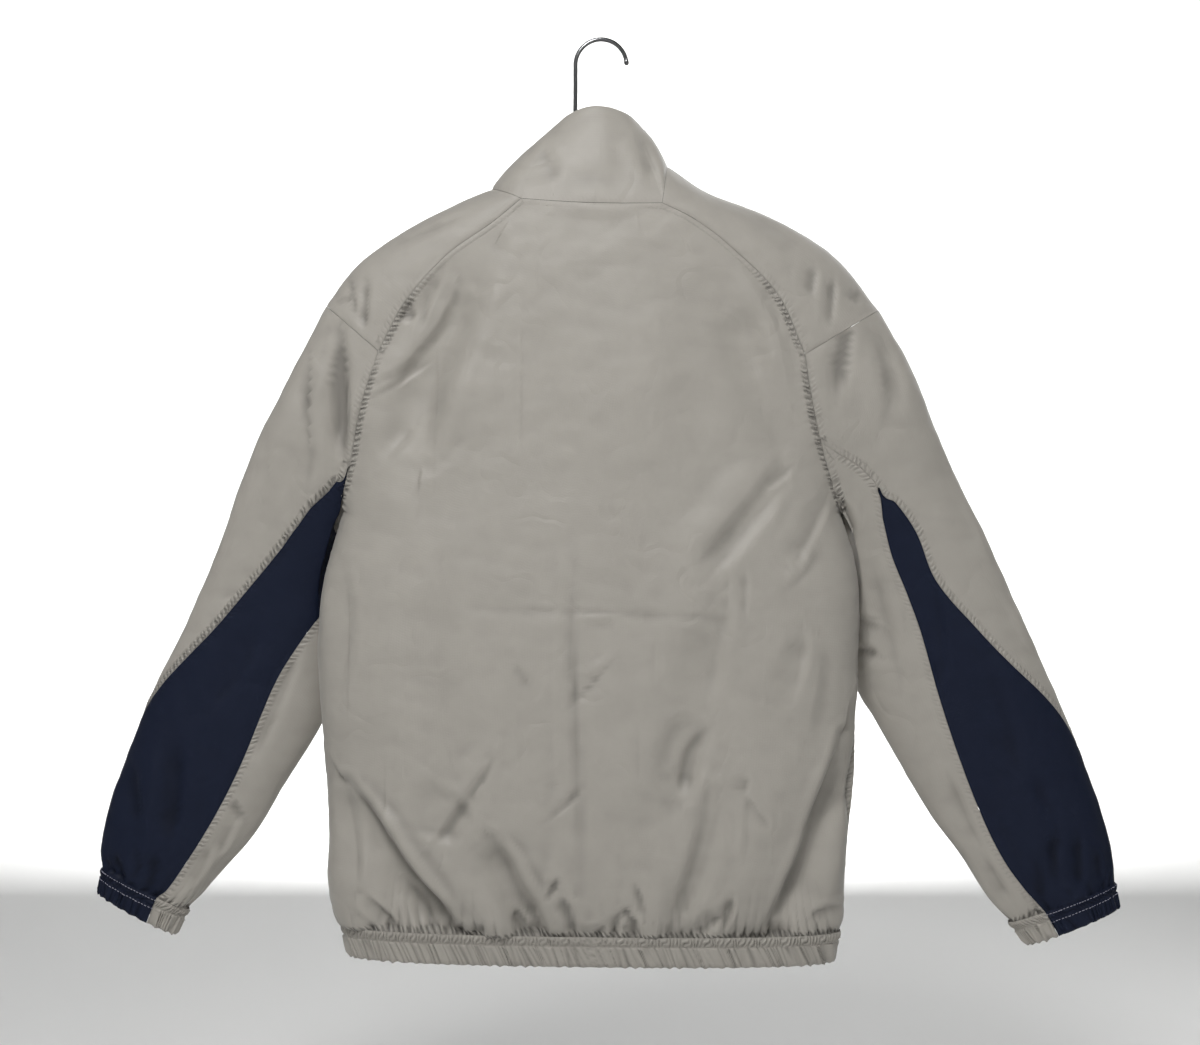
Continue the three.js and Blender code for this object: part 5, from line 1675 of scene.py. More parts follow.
class RepeatAlong:
    """Lays stitches or teeth along lines by geometry nodes."""

    def __init__(self, unit_kind: Unit) -> None:
        """Builds the node group for a kind of unit."""
        self.group = bpy.data.node_groups.new(f"{unit_kind.value} row", "GeometryNodeTree")
        face = self.group.interface
        face.new_socket(name="Lines", in_out="INPUT", socket_type="NodeSocketGeometry")
        for name in ("Pitch", "Length", "Width", "Thickness"):
            face.new_socket(name=name, in_out="INPUT", socket_type="NodeSocketFloat")
        face.new_socket(name="Material", in_out="INPUT", socket_type="NodeSocketMaterial")
        face.new_socket(name="Row", in_out="OUTPUT", socket_type="NodeSocketGeometry")
        made = self.group.nodes.new
        given, result = made("NodeGroupInput"), made("NodeGroupOutput")
        curve, dots = made("GeometryNodeMeshToCurve"), made("GeometryNodeCurveToPoints")
        dots.mode = "LENGTH"
        if unit_kind is Unit.STITCH:
            shape = made("GeometryNodeMeshUVSphere")
            shape.inputs["Segments"].default_value = 6
            shape.inputs["Rings"].default_value = 4
            shape.inputs["Radius"].default_value = 0.5
        else:
            shape = made("GeometryNodeMeshCube")
        turn, level = made("FunctionNodeAlignRotationToVector"), made("FunctionNodeAlignRotationToVector")
        turn.axis, level.axis, level.pivot_axis = "Z", "X", "Z"
        level.inputs["Vector"].default_value = (1.0, 0.0, 0.0)
        size, chance = made("ShaderNodeCombineXYZ"), made("FunctionNodeRandomValue")
        chance.inputs[2].default_value, chance.inputs[3].default_value = 0.88, 1.08
        chance.inputs["Seed"].default_value = 7
        scale = made("ShaderNodeVectorMath")
        scale.operation = "SCALE"
        instance, real = made("GeometryNodeInstanceOnPoints"), made("GeometryNodeRealizeInstances")
        dress = made("GeometryNodeSetMaterial")
        link = self.group.links.new
        link(given.outputs["Lines"], curve.inputs["Mesh"])
        link(curve.outputs["Curve"], dots.inputs["Curve"])
        link(given.outputs["Pitch"], dots.inputs["Length"])
        link(dots.outputs["Points"], instance.inputs["Points"])
        link(dots.outputs["Tangent"], turn.inputs["Vector"])
        link(turn.outputs["Rotation"], level.inputs["Rotation"])
        link(level.outputs["Rotation"], instance.inputs["Rotation"])
        link(shape.outputs["Mesh"], instance.inputs["Instance"])
        for axis, name in zip("XYZ", ("Width", "Thickness", "Length")):
            link(given.outputs[name], size.inputs[axis])
        link(size.outputs["Vector"], scale.inputs[0])
        link(chance.outputs[1], scale.inputs["Scale"])
        link(scale.outputs["Vector"], instance.inputs["Scale"])
        link(instance.outputs["Instances"], real.inputs["Geometry"])
        link(real.outputs["Geometry"], dress.inputs["Geometry"])
        link(given.outputs["Material"], dress.inputs["Material"])
        link(dress.outputs["Geometry"], result.inputs["Row"])

    def lay(
        self, room: Workroom, name: str, lines: list[Array], pitch: float, size: tuple[float, float, float],
        finish: ClothFinish | HardFinish,
    ) -> bpy.types.Object:
        """Lays the units along lines as one plain mesh.

        Args:
            room: The workroom that makes the finish.
            name: The piece's name.
            lines: The lines' points in millimetres.
            pitch: The distance from unit to unit.
            size: A unit's width, thickness and length.
            finish: Its finish.

        Returns:
            The piece.
        """
        points, edges = [], []
        for line in lines:
            start = sum(len(p) for p in points)
            points.append(line * METRE)
            edges += [(start + k, start + k + 1) for k in range(len(line) - 1)]
        mesh = bpy.data.meshes.new(name)
        mesh.from_pydata(np.concatenate(points).tolist(), edges, [])
        made = bpy.data.objects.new(name, mesh)
        bpy.context.scene.collection.objects.link(made)
        row = made.modifiers.new("row", "NODES")
        row.node_group = self.group
        values = {"Pitch": pitch, "Width": size[0], "Thickness": size[1], "Length": size[2]}
        for item in self.group.interface.items_tree:
            if item.name in values:
                row[item.identifier] = values[item.name] * METRE
            elif item.name == "Material":
                row[item.identifier] = room.material(finish)
        graph = bpy.context.evaluated_depsgraph_get()
        plain = bpy.data.meshes.new_from_object(made.evaluated_get(graph))
        made.modifiers.clear()
        made.data = plain
        plain.name = name
        plain.shade_smooth()
        if not plain.materials:
            plain.materials.append(room.material(finish))
        return made


@dataclass
class Shell:
    """The sewn panels of the jacket, with their creases and puckered seams."""

    room: Workroom
    form: JacketForm = field(default_factory=JacketForm)
    relief: SeamRelief = field(default_factory=SeamRelief)
    edge_fade: float = 5.0
    crumple_deep: float = 0.5
    gather_deep: float = 1.8
    gather_pitch: float = 9.0
    panels: dict[str, Panel] = field(default_factory=dict)

    def seam_maps(self) -> dict[str, SeamMap]:
        """Maps the seams for the body and for each sleeve.

        Returns:
            The maps by the names body, left and right.
        """
        maps = {"body": SeamMap(), "left": SeamMap(), "right": SeamMap()}
        turns = np.linspace(-180, 180, 253)
        for n, side in enumerate(("left", "right")):
            tight = mix(0.1, 1.0, smooth((np.abs(turns) - 60) / 16))
            hole = self.form.armhole(side, turns)
            maps["body"].add(hole, 100 + 900 * n, tight)
            maps[side].add(hole, 100 + 900 * n, tight)
            for face in ("back", "front"):
                along = np.linspace(0, 1, 57)
                seam = self.form.shoulder(side, np.full(57, 1.0 if face == "back" else -1.0), along)
                tight = mix(0.05, 0.9, smooth((along - 0.55) / 0.25))
                tight = tight * mix(1.0, 0.2, smooth((along - 0.92) / 0.08))
                maps["body"].add(seam, 3000 + 400 * n, tight, 0.5)
                edge, place = self.form.panel_edge(side, face)
                if face == "back":
                    maps["body"].add(edge[place <= SIDE_ROWS], 5000 + 500 * n, 0.35)
            for part, tight in (("top", 1.0), ("under", 0.45)):
                tight *= 1.0 if side == "left" else 0.4
                panel = self.panels[f"sleeve_{part}_{side}"]
                edges = (panel.rows[:, 0], panel.rows[:, -1])
                behind, ahead = sorted(edges, key=lambda line: line[:, 1].mean())
                past_tip = smooth((panel.place - NAVY_TIP[side]) / 0.5)
                maps[side].add(behind, 7000, mix(0.8 if side == "left" else 0.3, tight, past_tip), 0.7)
                maps[side].add(ahead, 8000, 0.3, 0.7)
            for part in ("top", "under", "insert"):
                maps[side].add(self.panels[f"sleeve_{part}_{side}"].rows[-1], 10000, 0.9, 0.3)
        maps["body"].add(self.panels["collar"].rows[0], 9000, 0.03, 0.6)
        for name in ("back", "front_left", "front_right"):
            maps["body"].add(self.panels[name].rows[0], 12000, 1.0, 0.2)
        return maps

    def creases_of(self, name: str, out: Array) -> list[tuple[tuple[Crease, ...], Array]]:
        """The creases of a panel and where they show.

        Args:
            name: The panel's name.
            out: The way out at each point.

        Returns:
            Pairs of creases and the weight of each point.
        """
        behind = smooth((-out[..., 1] - 0.02) / 0.3)
        ahead = smooth((out[..., 1] - 0.02) / 0.3)
        side = name.split("_")[-1]
        if name == "back":
            return [(BACK_CREASES, np.ones_like(behind))]
        if name.startswith("front"):
            return [(FRONT_CREASES, np.ones_like(behind))]
        if name.startswith("shoulder"):
            return [(SADDLE_CREASES, behind)]
        if name == "collar":
            return [(COLLAR_CREASES, behind)]
        return [(SLEEVE_CREASES[side], behind), (SLEEVE_FRONT_CREASES[side], ahead)]

    def shape(self) -> None:
        """Gives every panel its creases, gathers and seam relief."""
        self.panels = self.form.panels()
        maps = self.seam_maps()
        for name, panel in self.panels.items():
            group = name.split("_")[-1] if name.startswith("sleeve") else "body"
            distance, run, tight, groove = maps[group].nearest(panel.rows)
            x, z = panel.rows[..., 0], panel.rows[..., 2]
            height = np.zeros_like(x)
            for creases, weight in self.creases_of(name, panel.out):
                for crease in creases:
                    crease.add_to(height, x, z, weight)
            height += self.crumple_deep * crumple(panel.rows, 46, 3)
            height += 0.35 * self.crumple_deep * crumple(panel.rows, 17, 4)
            height *= mix(0.1, 1.0, smooth(distance / self.edge_fade))
            height += self.relief.height(distance, run, tight, groove) * (0.3 if "insert" in name else 1.0)
            height += self.gathers(panel)
            panel.seam = distance
            pull = tight * self.share_of_pull(name, panel)
            panel.stress = np.stack([run * METRE, distance * METRE, pull], axis=-1)
            # The depth in sharp folds, kept as painted shade for the colour.
            panel.hollow = self.cavity(height)
            panel.rows = self.pulled(panel.rows) + panel.out * height[..., None]
            panel.out = unit(panel.own_normals())

    @staticmethod
    def cavity(height: Array, reach: int = 4, full: float = 1.7) -> Array:
        """Gives how far each place lies below the cloth round it, the depth that the colour's painted shade
        follows.

        Args:
            height: The relief, rows by columns.
            reach: How many rows and columns each way count.
            full: The depth in millimetres that gives 1.

        Returns:
            The depths, from 0 up.
        """
        kernel = np.hanning(2 * reach + 3)[1:-1] / (reach + 1)

        def even(run: Array) -> Array:
            """Evens out one run of heights."""
            return np.convolve(np.pad(run, reach, "edge"), kernel, "valid")

        evened = height
        for axis in (0, 1):
            evened = np.apply_along_axis(even, axis, evened)
        return np.maximum(evened - height, 0) / full

    def gathers(self, panel: Panel) -> Array:
        """Gives the relief that a gathered edge pulls into a panel."""
        slanted = panel.across + 0.4 * panel.above * wobble(panel.across, 85, 20)
        fine = wobble(slanted, self.gather_pitch, 21) * np.exp(-panel.above / 8)
        valley = (1 - np.minimum(1, np.abs(wobble(slanted, 2.2 * self.gather_pitch, 22)))) ** 2.5
        broad = wobble(slanted, 6 * self.gather_pitch, 23) * np.exp(-panel.above / 40)
        pulled_in = 2.2 * valley * np.exp(-panel.above / 15) - 1.5 * broad
        return self.gather_deep * (0.25 * fine - pulled_in * smooth(panel.above / 4))

    @staticmethod
    def share_of_pull(name: str, panel: Panel) -> Array:
        """Gives how much of a seam's puckers each row of a panel takes."""
        if "insert" in name:
            return np.full((len(panel.rows), 1), 0.15)
        if name.startswith("sleeve"):
            return mix(0.15, 1.0, smooth((panel.place - 0.2) / 0.4))[:, None]
        return np.full((len(panel.rows), 1), 0.2 if name.startswith("shoulder") else 1.0)

    @staticmethod
    def pulled(rows: Array) -> Array:
        """Gives a grid with its edges drawn just short of the seams."""
        moved = rows.copy()
        moved[0] += unit(rows[1] - rows[0]) * SEAM_PULL
        moved[-1] += unit(rows[-2] - rows[-1]) * SEAM_PULL
        moved[:, 0] += unit(rows[:, 1] - rows[:, 0]) * SEAM_PULL
        moved[:, -1] += unit(rows[:, -2] - rows[:, -1]) * SEAM_PULL
        return moved

    def folded_collar(self) -> tuple[Array, Array]:
        """The collar's outer layer carried over its top edge and down inside.

        Returns:
            The grid and the way out at each point.
        """
        panel = self.panels["collar"]
        thick = 2.6
        rows, out = panel.rows.copy(), panel.out
        turns = np.linspace(0, np.pi, 7)[1:-1]
        up = unit(rows[-1] - rows[-2])
        centre = rows[-1] - out[-1] * thick / 2
        over = [centre + out[-1] * thick / 2 * np.cos(a) + up * thick / 2 * np.sin(a) for a in turns]
        over_out = [out[-1] * np.cos(a) + up * np.sin(a) for a in turns]
        inside = (rows - out * thick)[::-1][:-1]
        grid = np.concatenate([rows, np.asarray(over), inside])
        return grid, np.concatenate([out, np.asarray(over_out), -out[::-1][:-1]])

    def sew(self) -> None:
        for name, panel in self.panels.items():
            finish = NAVY_CLOTH if "insert" in name else GREY_CLOTH
            grid, out = self.folded_collar() if name == "collar" else (panel.rows, panel.out)
            piece = self.room.sheet(f"{name}_cloth", grid, out, finish, 0.0 if name == "collar" else CLOTH)
            self.room.strain(piece, panel.stress)
            # Painted shade deep in the folds goes onto the piece.
            self.room.shade(piece, panel.hollow)
            self.room.sew(piece, (name,), finish)
            self.room.declare(piece, Workroom.cut_size(grid), "hung", ("hanger_arms",))

    def stitches(self) -> list[Array]:
        """Gives the lines of topstitching on the panels."""
        lines = []
        at, lift = self.relief.stitch_at, 0.1
        body_span, sleeve_span = (SIDE_ROWS + 0.6, ALL_ROWS - 0.2), (0.5, CUFF_SECTION - 0.6)
        ends = (Edge.FIRST_COLUMN, Edge.LAST_COLUMN)
        for edge in ends:
            lines.append(self.panels["back"].beside(edge, at, lift, body_span))
        for side in ("left", "right"):
            front = self.panels[f"front_{side}"]
            seam_last = abs(front.rows[5, -1, 0]) > abs(front.rows[5, 0, 0])
            zip_edge, seam_edge = ends if seam_last else ends[::-1]
            lines.append(front.beside(seam_edge, at, lift, body_span))
            lines.append(self.along_zip(front, zip_edge))
            for edge in ends:
                lines.append(self.panels[f"sleeve_top_{side}"].beside(edge, 5.6, lift, sleeve_span))
        return [line for line in lines if len(line) > 3]

    @staticmethod
    def along_zip(front: Panel, edge: Edge) -> Array:
        """Gives the stitch line that holds the zip to a front."""
        lengths = run_lengths(front.rows, 1)
        away = lengths if edge is Edge.FIRST_COLUMN else lengths[:, -1:] - lengths
        line = []
        for i in range(len(front.rows)):
            k = int(np.argmin(np.abs(away[i] - 6.0)))
            line.append(front.rows[i, k] + front.out[i, k] * 0.1)
        return np.asarray(line)


@dataclass
class GatheredBands:
    """The elastic casings of the hem and the cuffs."""

    room: Workroom
    form: JacketForm
    rope_high: float = 7.0
    rope_out: float = 2.1
    bead_pitch: float = 3.8
    pleat_pitch: float = 5.6
    pleat_deep: float = 2.7
    slant: float = 0.13
    lines: dict[str, list[Array]] = field(default_factory=lambda: {"grey": [], "navy": []})

    def wave(self, run: Array, down: Array, height: float, seed: int) -> tuple[Array, Array]:
        """The band's relief.

        Args:
            run: Lengths round it.
            down: Distances below its seam.
            height: The band's height.
            seed: Picks the pleats' form.

        Returns:
            Heights along the way out, and how deep between its beads and pleats each place lies, for painted
            shade there.
        """
        rope = self.rope_high * height / HEM_HEIGHT
        turn = run / self.bead_pitch + 0.5 * wobble(run, 13, seed) + 0.24 * down
        bead = np.abs(np.sin(np.pi * turn)) ** 0.9
        roll = np.sin(np.pi * np.clip((down - BAND_START) / (rope - BAND_START), 0, 1)) ** 0.8
        lean = self.slant * down * wobble(run, 40, seed + 2)
        turn = (run + lean) / self.pleat_pitch + 0.9 * wobble(run, 29, seed + 1)
        turn = turn + 0.3 * wobble(run, 9, seed + 4)
        ridge = np.abs(np.sin(np.pi * turn)) ** 0.8
        size = 0.6 + 0.4 * wobble(run, 15, seed + 3)
        lower = smooth((down - 0.9 * rope) / 2.0)
        low_edge = -1.2 * smooth((down - height + 2.0) / 2.0)
        relief = 1.1 * np.exp(-(down - BAND_START) / 3) + roll * (0.3 + self.rope_out * bead)
        relief = relief + lower * self.pleat_deep * size * ridge + low_edge
        return relief, roll * (1 - bead) ** 1.5 + lower * np.maximum(size, 0.2) * (1 - ridge) ** 1.3 * 1.3

    def grid(
        self, plain: Array, out: Array, run: Array, down: Array, height: float, seed: int,
    ) -> tuple[Array, Array, Array]:
        """A band folded under at its lower edge.

        Args:
            plain: The plain form's points, rows by columns.
            out: The way out.
            run: Lengths round it.
            down: Distances below its seam.
            height: The band's height.
            seed: Picks the pleats' form.

        Returns:
            The grid, the way out and how deep between the pleats each place of the outside lies, for painted
            shade there.
        """
        relief, hollow = self.wave(run, down, height, seed)
        outer = plain + out * relief[..., None]
        outer[..., 2] += 1.1 * smooth((down - height + 6) / 6) * wobble(run, 9, seed + 5)
        inner = plain - out * (BAND_WALL - 0.25 * relief[..., None])
        middle = (outer[-1] + inner[-1]) / 2 - np.array([0, 0, 0.6])
        grid = np.concatenate([outer, middle[None], inner[::-1]])
        return grid, np.concatenate([out, out[-1:], -out[::-1]]), hollow

    def hem(self) -> None:
        """Makes the hem's casing."""
        share = np.linspace(0, 1, 1701)[None]
        down = np.concatenate([np.linspace(BAND_START, 9, 12), np.linspace(10.5, HEM_HEIGHT, 8)])[:, None]
        share, down = np.broadcast_arrays(share, down)
        plain, out = self.form.hem_ring(share, down)
        run = run_lengths(plain, 1)
        grid, ways, hollow = self.grid(plain, out, run, down, HEM_HEIGHT, 31)
        piece = self.room.sheet("hem_band_cloth", grid, ways, GREY_CLOTH, 0.0)
        # Painted shade between the hem's beads and pleats.
        self.room.shade(piece, hollow)
        self.room.sew(piece, ("hem_band",), GREY_CLOTH)
        self.room.declare(piece, Workroom.cut_size(grid, 6.0), "gathered", ("back_cloth",))
        self.lines["grey"].append(grid[6] + out[6] * 0.1)

    def cuff(self, side: str) -> None:
        """Makes a cuff's casing in its navy and grey parts."""
        upper, lower, _ = self.form.seam_turns(side, float(CUFF_SECTION))
        gap = 0.35
        parts = {"navy": (upper + gap, lower - gap, 180), "grey": (lower + gap, upper + 360 - gap, 240)}
        for part, (start, end, columns) in parts.items():
            turns = np.linspace(start, end, columns + 1)
            if side == "right":
                turns = turns[::-1]
            down = np.concatenate([np.linspace(BAND_START, 8, 10), np.linspace(9.5, CUFF_HEIGHT, 8)])[:, None]
            turns, down = np.broadcast_arrays(turns[None], down)
            plain, out = self.form.cuff_ring(side, turns, down)
            run = np.mod(turns, 360) / 360 * CUFF_ROUND
            grid, ways, hollow = self.grid(plain, out, run, down, CUFF_HEIGHT, 41 if side == "left" else 47)
            finish = NAVY_CLOTH if part == "navy" else GREY_CLOTH
            name = f"cuff_{part}_{side}"
            piece = self.room.sheet(f"{name}_cloth", grid, ways, finish, 0.0)
            # Painted shade between the cuff's beads and pleats.
            self.room.shade(piece, hollow)
            self.room.sew(piece, (name,), finish)
            self.room.declare(piece, Workroom.cut_size(grid, 4.0), "gathered", (f"sleeve_top_{side}_cloth",))
            for at in (2, 9):
                self.lines[part].append(grid[at] + out[at] * 0.3)


@dataclass
class FrontZip:
    """The zip's tapes and teeth, behind the edges of the fronts."""

    room: Workroom
    panels: dict[str, Panel]
    form: JacketForm
    reach: float = 12.0
    start: float = 2.85
    depth: float = 1.75
    wall: float = 1.0
    tooth: tuple[float, float, float] = (2.6, 1.7, 1.0)
    pitch: float = 2.0

    def line(self) -> Array:
        """Gives the zip's line from the hem up as rows of (y, z)."""
        front = self.form.front("right").rows[:, 0]
        base = self.form.neck_seam(self.form.round_the_neck())
        collar = self.form.collar(base).rows[:, -1]
        hem_z = HEM_SEAM_Z - HEM_HEIGHT + 1
        hem_y = float(self.form.body["front"](HEM_SEAM_Z - HEM_HEIGHT))
        hem = np.linspace((ZIP_X, hem_y, hem_z), (ZIP_X, front[0, 1], front[0, 2]), 7)[:-1]
        return np.concatenate([hem, front, collar[1:]])[:, 1:]

    def build(self) -> None:
        """Makes the tapes and the teeth."""
        line = self.line()
        ahead = unit(np.gradient(line, axis=0))
        inward = np.stack([-ahead[:, 1], ahead[:, 0]], -1)
        lanes = np.linspace(0, 1, 7)
        for side, sign in (("left", -1), ("right", 1)):
            reach = mix(self.start, self.reach, lanes)
            droop = mix(0.0, 1.0, lanes)
            front_face = []
            for x, sink in zip(ZIP_X + sign * reach, droop):
                spot = line + inward * (self.depth + sink)
                front_face.append(places(np.full(len(line), x), spot[:, 0], spot[:, 1]))
            grid = np.stack(front_face, axis=1)
            if side == "right":
                grid = grid[:, ::-1]
            back_out = unit(Panel("tape", grid, lanes, grid[..., 0], grid[..., 0]).own_normals())
            piece = self.room.sheet(f"zip_tape_{side}_cloth", grid, back_out, ZIP_TAPE, self.wall)
            self.room.sew(piece, (f"zip_tape_{side}",), ZIP_TAPE)
            self.room.declare(piece, Workroom.cut_size(grid, 1.0), "hung", (f"front_{side}_cloth",))
        teeth = RepeatAlong(Unit.TOOTH)
        middle = line + inward * self.depth
        rows = []
        for sign in (-1, 1):
            shift = 0 if sign < 0 else 0.5 * self.pitch
            points = places(np.full(len(line), ZIP_X + sign * 1.15), middle[:, 0], middle[:, 1])
            rows.append(points + np.array([0, 0, shift]))
        piece = teeth.lay(self.room, "zip_teeth_row", rows, self.pitch, self.tooth, ZIP_TEETH)
        self.room.sew(piece, ("zip_chain",), ZIP_TEETH)


@dataclass
class Hanger:
    """The hanger's arms and its hook."""

    room: Workroom
    form: JacketForm
    wide: float = 11.0
    tall: float = 22.0
    hub: tuple[float, float, float] = (-9.0, 3.0, -139.0)
    seat_gap: float = 0.4
    wire: float = 4.0
    radius: float = 23.5
    hook_x: float = 1.0
    shank_x: float = -22.5

    def tube(self, line: Array, wide: Array, tall: Array, sides: int, flat_up: bool) -> tuple[Array, Array]:
        """A closed tube along a line.

        Args:
            line: Its middle points.
            wide: Its width at each.
            tall: Its height at each.
            sides: Points round it.
            flat_up: True if its section stands upright, False if it is round.

        Returns:
            The points and faces.
        """
        ahead = unit(np.gradient(line, axis=0))
        side = np.tile([0.0, 1.0, 0.0], (len(line), 1))
        up = unit(np.cross(ahead, side)) * (-1 if flat_up else 1)
        turn = np.linspace(0, 2 * np.pi, sides, endpoint=False)
        power = 0.8 if flat_up else 1.0
        c, s = (np.sign(f(turn)) * np.abs(f(turn)) ** power for f in (np.cos, np.sin))
        rings = line[:, None] + side[:, None] * (c[None] * wide[:, None] / 2)[..., None]
        rings = rings + up[:, None] * (s[None] * tall[:, None] / 2)[..., None]
        index = np.arange(len(line) * sides).reshape(len(line), sides)
        after = np.roll(index, -1, axis=1)
        faces = np.stack([index[:-1], after[:-1], after[1:], index[1:]], -1).reshape(-1, 4)
        points = np.concatenate([rings.reshape(-1, 3), line[:1], line[-1:]])
        ends = []
        for k in range(sides):
            ends.append((len(points) - 2, after[0, k], index[0, k], index[0, k]))
            ends.append((len(points) - 1, index[-1, k], after[-1, k], after[-1, k]))
        middle = np.asarray([[a, b, c_] for a, b, c_, _ in ends])
        return points, [*faces.tolist(), *middle.tolist()]

    def closed(
        self, name: str, points: Array, faces: list[list[int]], finish: HardFinish,
    ) -> bpy.types.Object:
        """Makes a closed object with its faces outwards."""
        mesh = bpy.data.meshes.new(name)
        mesh.from_pydata((points * METRE).tolist(), [], faces)
        mesh.materials.append(self.room.material(finish))
        mesh.shade_smooth()
        made = bpy.data.objects.new(name, mesh)
        bpy.context.scene.collection.objects.link(made)
        spots = np.asarray([vertex.co for vertex in mesh.vertices])
        volume = 0.0
        for face in mesh.polygons:
            a, b, c = (spots[k] for k in face.vertices[:3])
            volume += float(np.dot(a, np.cross(b, c)))
        if volume < 0:
            mesh.flip_normals()
        return made

    def arms(self) -> None:
        """Makes the arms under both shoulders."""
        def under(side: str) -> Array:
            """Gives the points under one saddle's top, from its outer end in."""
            along = np.asarray([5, 4, 3, 2]) / RAGLAN_ROWS
            top = self.form.shoulder(side, np.zeros(4), along)
            slope = np.gradient(top[:, 2]) / np.gradient(top[:, 0])
            drop = (CLOTH + self.seat_gap + self.tall / 2) * np.hypot(1, slope)
            return top - places(np.zeros(4), np.zeros(4), drop)

        stations = np.concatenate([under("left"), [self.hub], under("right")[::-1]])
        at = np.linspace(0, len(stations) - 1, 97)
        line = np.stack([np.interp(at, range(len(stations)), stations[:, k]) for k in range(3)], -1)
        blur = np.array([1, 4, 6, 4, 1]) / 16
        for k in range(3):
            line[2:-2, k] = np.convolve(line[:, k], blur, mode="valid")
        run = run_lengths(line[None], 1)[0]
        end = np.minimum(run, run[-1] - run)
        size = np.sqrt(np.clip(1 - (1 - np.clip(end / 9, 0, 1)) ** 2, 0.06, 1))
        points, faces = self.tube(line, self.wide * size, self.tall * size * 0.96, 24, True)
        piece = self.closed("hanger_arms", points, faces, HANGER_PLASTIC)
        self.room.sew(piece, ("hanger_bar",), HANGER_PLASTIC)

    def hook(self) -> None:
        """Makes the hook's round wire, with a ball on its free end."""
        foot = self.hub[2] + self.tall / 2
        middle_z = self.wire / 2 - self.radius
        low = np.asarray([
            (self.hub[0], 3, foot + 0.3),
            (self.hub[0], 3, foot + 12),
            (mix(self.hub[0], self.shank_x, 0.35), 2, foot + 22),
            (mix(self.hub[0], self.shank_x, 0.8), 1, foot + 33),
            (self.shank_x, 0, foot + 46),
            (self.shank_x, 0, middle_z - 20),
        ])
        at = np.linspace(0, len(low) - 1, 61)
        stem = np.stack([Curve(range(len(low)), low[:, k])(at) for k in range(3)], -1)
        turn = np.pi * (1 - np.linspace(0, 1, 61))
        bow = places(self.hook_x + self.radius * np.cos(turn), 0, middle_z + self.radius * np.sin(turn))
        line = np.concatenate([stem, bow])
        size = np.full(len(line), self.wire)
        size[-4:] = self.wire * np.array([1.12, 1.2, 1.12, 0.7])
        points, faces = self.tube(line, size, size, 20, False)
        piece = self.closed("hook_wire", points, faces, HOOK_METAL)
        self.room.sew(piece, ("hanger_hook",), HOOK_METAL)


@dataclass(frozen=True)
class Lamp:
    """A square light.

    Args:
        name: Its name.
        place: Where it stands, in metres.
        aim: What it points at.
        size: Its side in metres.
        watts: Its power.
    """

    name: str
    place: tuple[float, float, float]
    aim: tuple[float, float, float]
    size: float
    watts: float


LAMPS = (
    Lamp("window", (-0.45, -1.8, 1.15), (0.0, 0.0, -0.55), 0.6, 46),
    Lamp("fill", (1.2, -2.2, -0.7), (0.0, 0.0, -0.5), 1.6, 4),
    Lamp("behind", (0.9, 1.0, 0.4), (0.0, 0.0, -0.4), 1.2, 10),
    Lamp("backdrop", (0.0, 2.3, 0.3), (0.0, 4.6, -0.3), 1.4, 110),
)


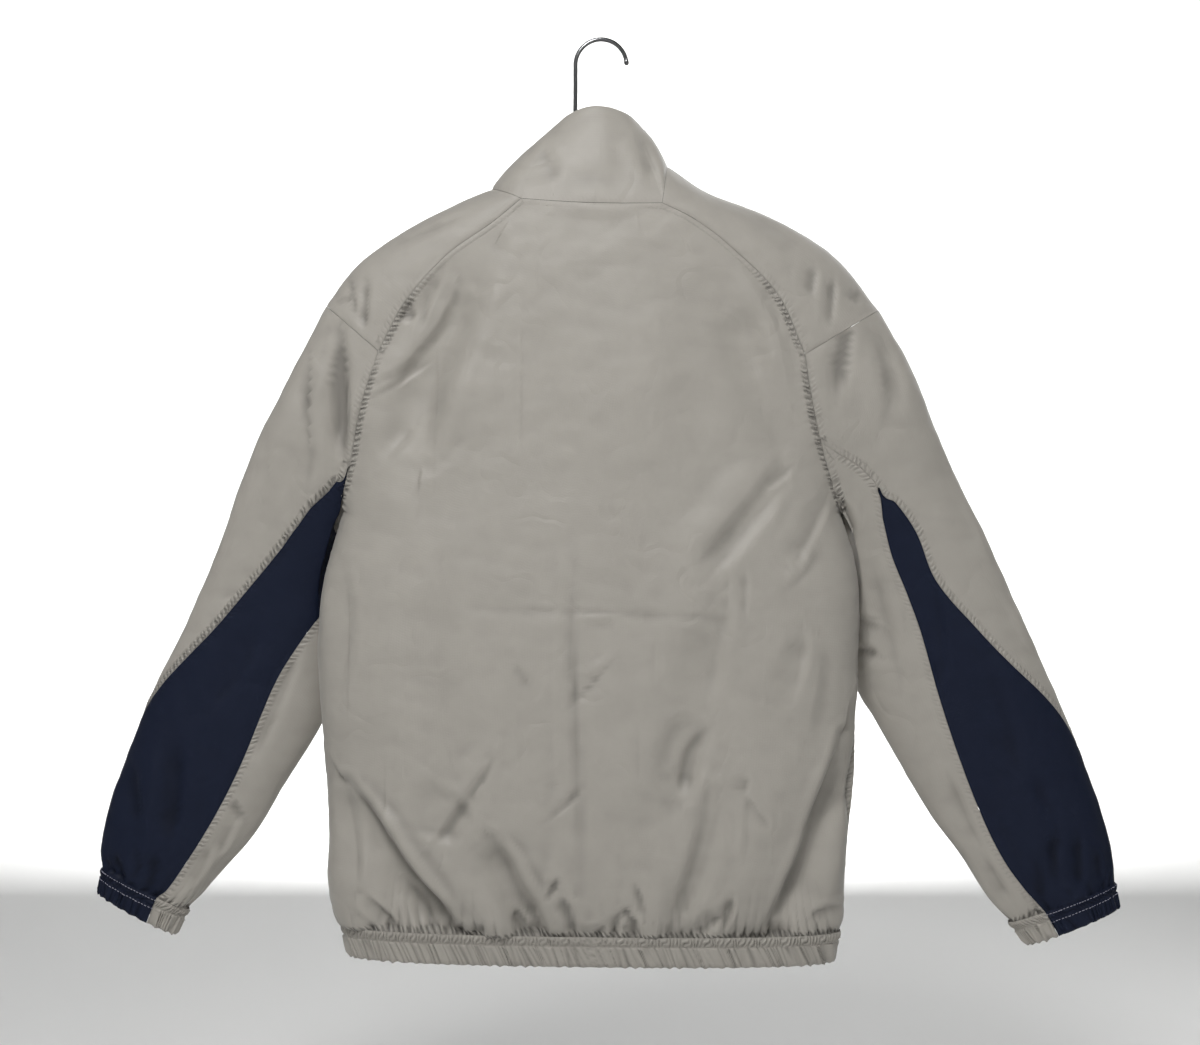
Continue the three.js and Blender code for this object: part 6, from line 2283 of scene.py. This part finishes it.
@dataclass
class Studio:
    """A pale floor swept up into a round wall, soft lights and the camera."""

    floor_z: float = -1.12
    wall: float = 4.6
    wall_top: float = 3.0
    bend: float = 0.8
    sides: int = 96
    camera_y: float = -2.0
    camera_z: float = -0.4425
    lens: float = 65.2

    def floor(self) -> None:
        """Makes the floor and the round wall as one sweep."""
        rise = np.linspace(0, np.pi / 2, 24)
        away = np.concatenate([self.wall - self.bend * (1 - np.sin(rise)), [self.wall]])
        z = np.concatenate([self.floor_z + self.bend * (1 - np.cos(rise)), [self.wall_top]])
        turn = np.linspace(0, 2 * np.pi, self.sides, endpoint=False)[None]
        rings = places(away[:, None] * np.cos(turn), away[:, None] * np.sin(turn), z[:, None])
        index = np.arange(rings.shape[0] * self.sides).reshape(-1, self.sides)
        after = np.roll(index, -1, axis=1)
        walls = np.stack([index[:-1], index[1:], after[1:], after[:-1]], -1).reshape(-1, 4)
        points, faces = rings.reshape(-1, 3).tolist(), [index[0].tolist(), *walls.tolist()]
        mesh = bpy.data.meshes.new("studio_sweep")
        mesh.from_pydata(points, [], faces)
        mesh.shade_smooth()
        paint = CraftedMaterial("studio paint")
        paint.set(Base_Color=(0.78, 0.78, 0.77, 1.0), Roughness=0.85)
        mesh.materials.append(paint.material)
        sweep = bpy.data.objects.new("studio_sweep", mesh)
        bpy.context.scene.collection.objects.link(sweep)

    @staticmethod
    def light(lamp: Lamp) -> None:
        """Adds a soft square light."""
        made = bpy.data.lights.new(lamp.name, "AREA")
        made.shape, made.size, made.energy = "SQUARE", lamp.size, lamp.watts
        stand = bpy.data.objects.new(lamp.name, made)
        stand.location = lamp.place
        stand.rotation_euler = (Vector(lamp.aim) - Vector(lamp.place)).to_track_quat("-Z", "Y").to_euler()
        bpy.context.scene.collection.objects.link(stand)

    def build(self) -> None:
        """Makes the whole studio."""
        self.floor()
        for lamp in LAMPS:
            self.light(lamp)
        world = bpy.data.worlds.new("soft room")
        world.use_nodes = True
        glow = world.node_tree.nodes["Background"].inputs
        glow["Color"].default_value, glow["Strength"].default_value = (0.93, 0.95, 1.0, 1.0), 0.2
        bpy.context.scene.world = world
        bpy.context.scene.view_settings.view_transform = "Standard"
        lens = bpy.data.cameras.new("camera")
        lens.lens, lens.sensor_width = self.lens, 36.0
        camera = bpy.data.objects.new("camera", lens)
        camera.location = (0.0, self.camera_y, self.camera_z)
        camera.rotation_euler = (math.pi / 2, 0.0, 0.0)
        bpy.context.scene.collection.objects.link(camera)
        bpy.context.scene.camera = camera


def paint_nodes(room: Workroom, frame: dict) -> None:
    """Gives the solids that stay in view their finish.

    Args:
        room: The workroom that makes the finish.
    """
    for name in ("zip_slider", "zip_pull"):
        node = frame["nodes"][name]
        for slot in node.material_slots:
            slot.material = room.material(SLIDER_METAL)
        LOG.info("%s: painted", name)


def main() -> None:
    """Builds the dressed jacket in its studio."""
    logging.basicConfig(level=logging.INFO, format="%(message)s")
    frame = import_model()
    Studio().build()
    room = Workroom()
    paint_nodes(room, frame)
    shell = Shell(room)
    shell.shape()
    shell.sew()
    bands = GatheredBands(room, shell.form)
    bands.hem()
    for side in ("left", "right"):
        bands.cuff(side)
    rows = RepeatAlong(Unit.STITCH)
    grey, pale = shell.stitches() + bands.lines["grey"], bands.lines["navy"]
    for name, lines, thick, finish in (
        ("topstitch_grey", grey, 0.55, GREY_THREAD),
        ("topstitch_pale", pale, 0.7, LILAC_THREAD),
    ):
        room.sew(rows.lay(room, name, lines, STITCH_PITCH, (thick, thick, STITCH_LONG), finish), (), finish)
    FrontZip(room, shell.panels, shell.form).build()
    hanger = Hanger(room, shell.form)
    hanger.arms()
    hanger.hook()


if __name__ == "__main__":
    main()
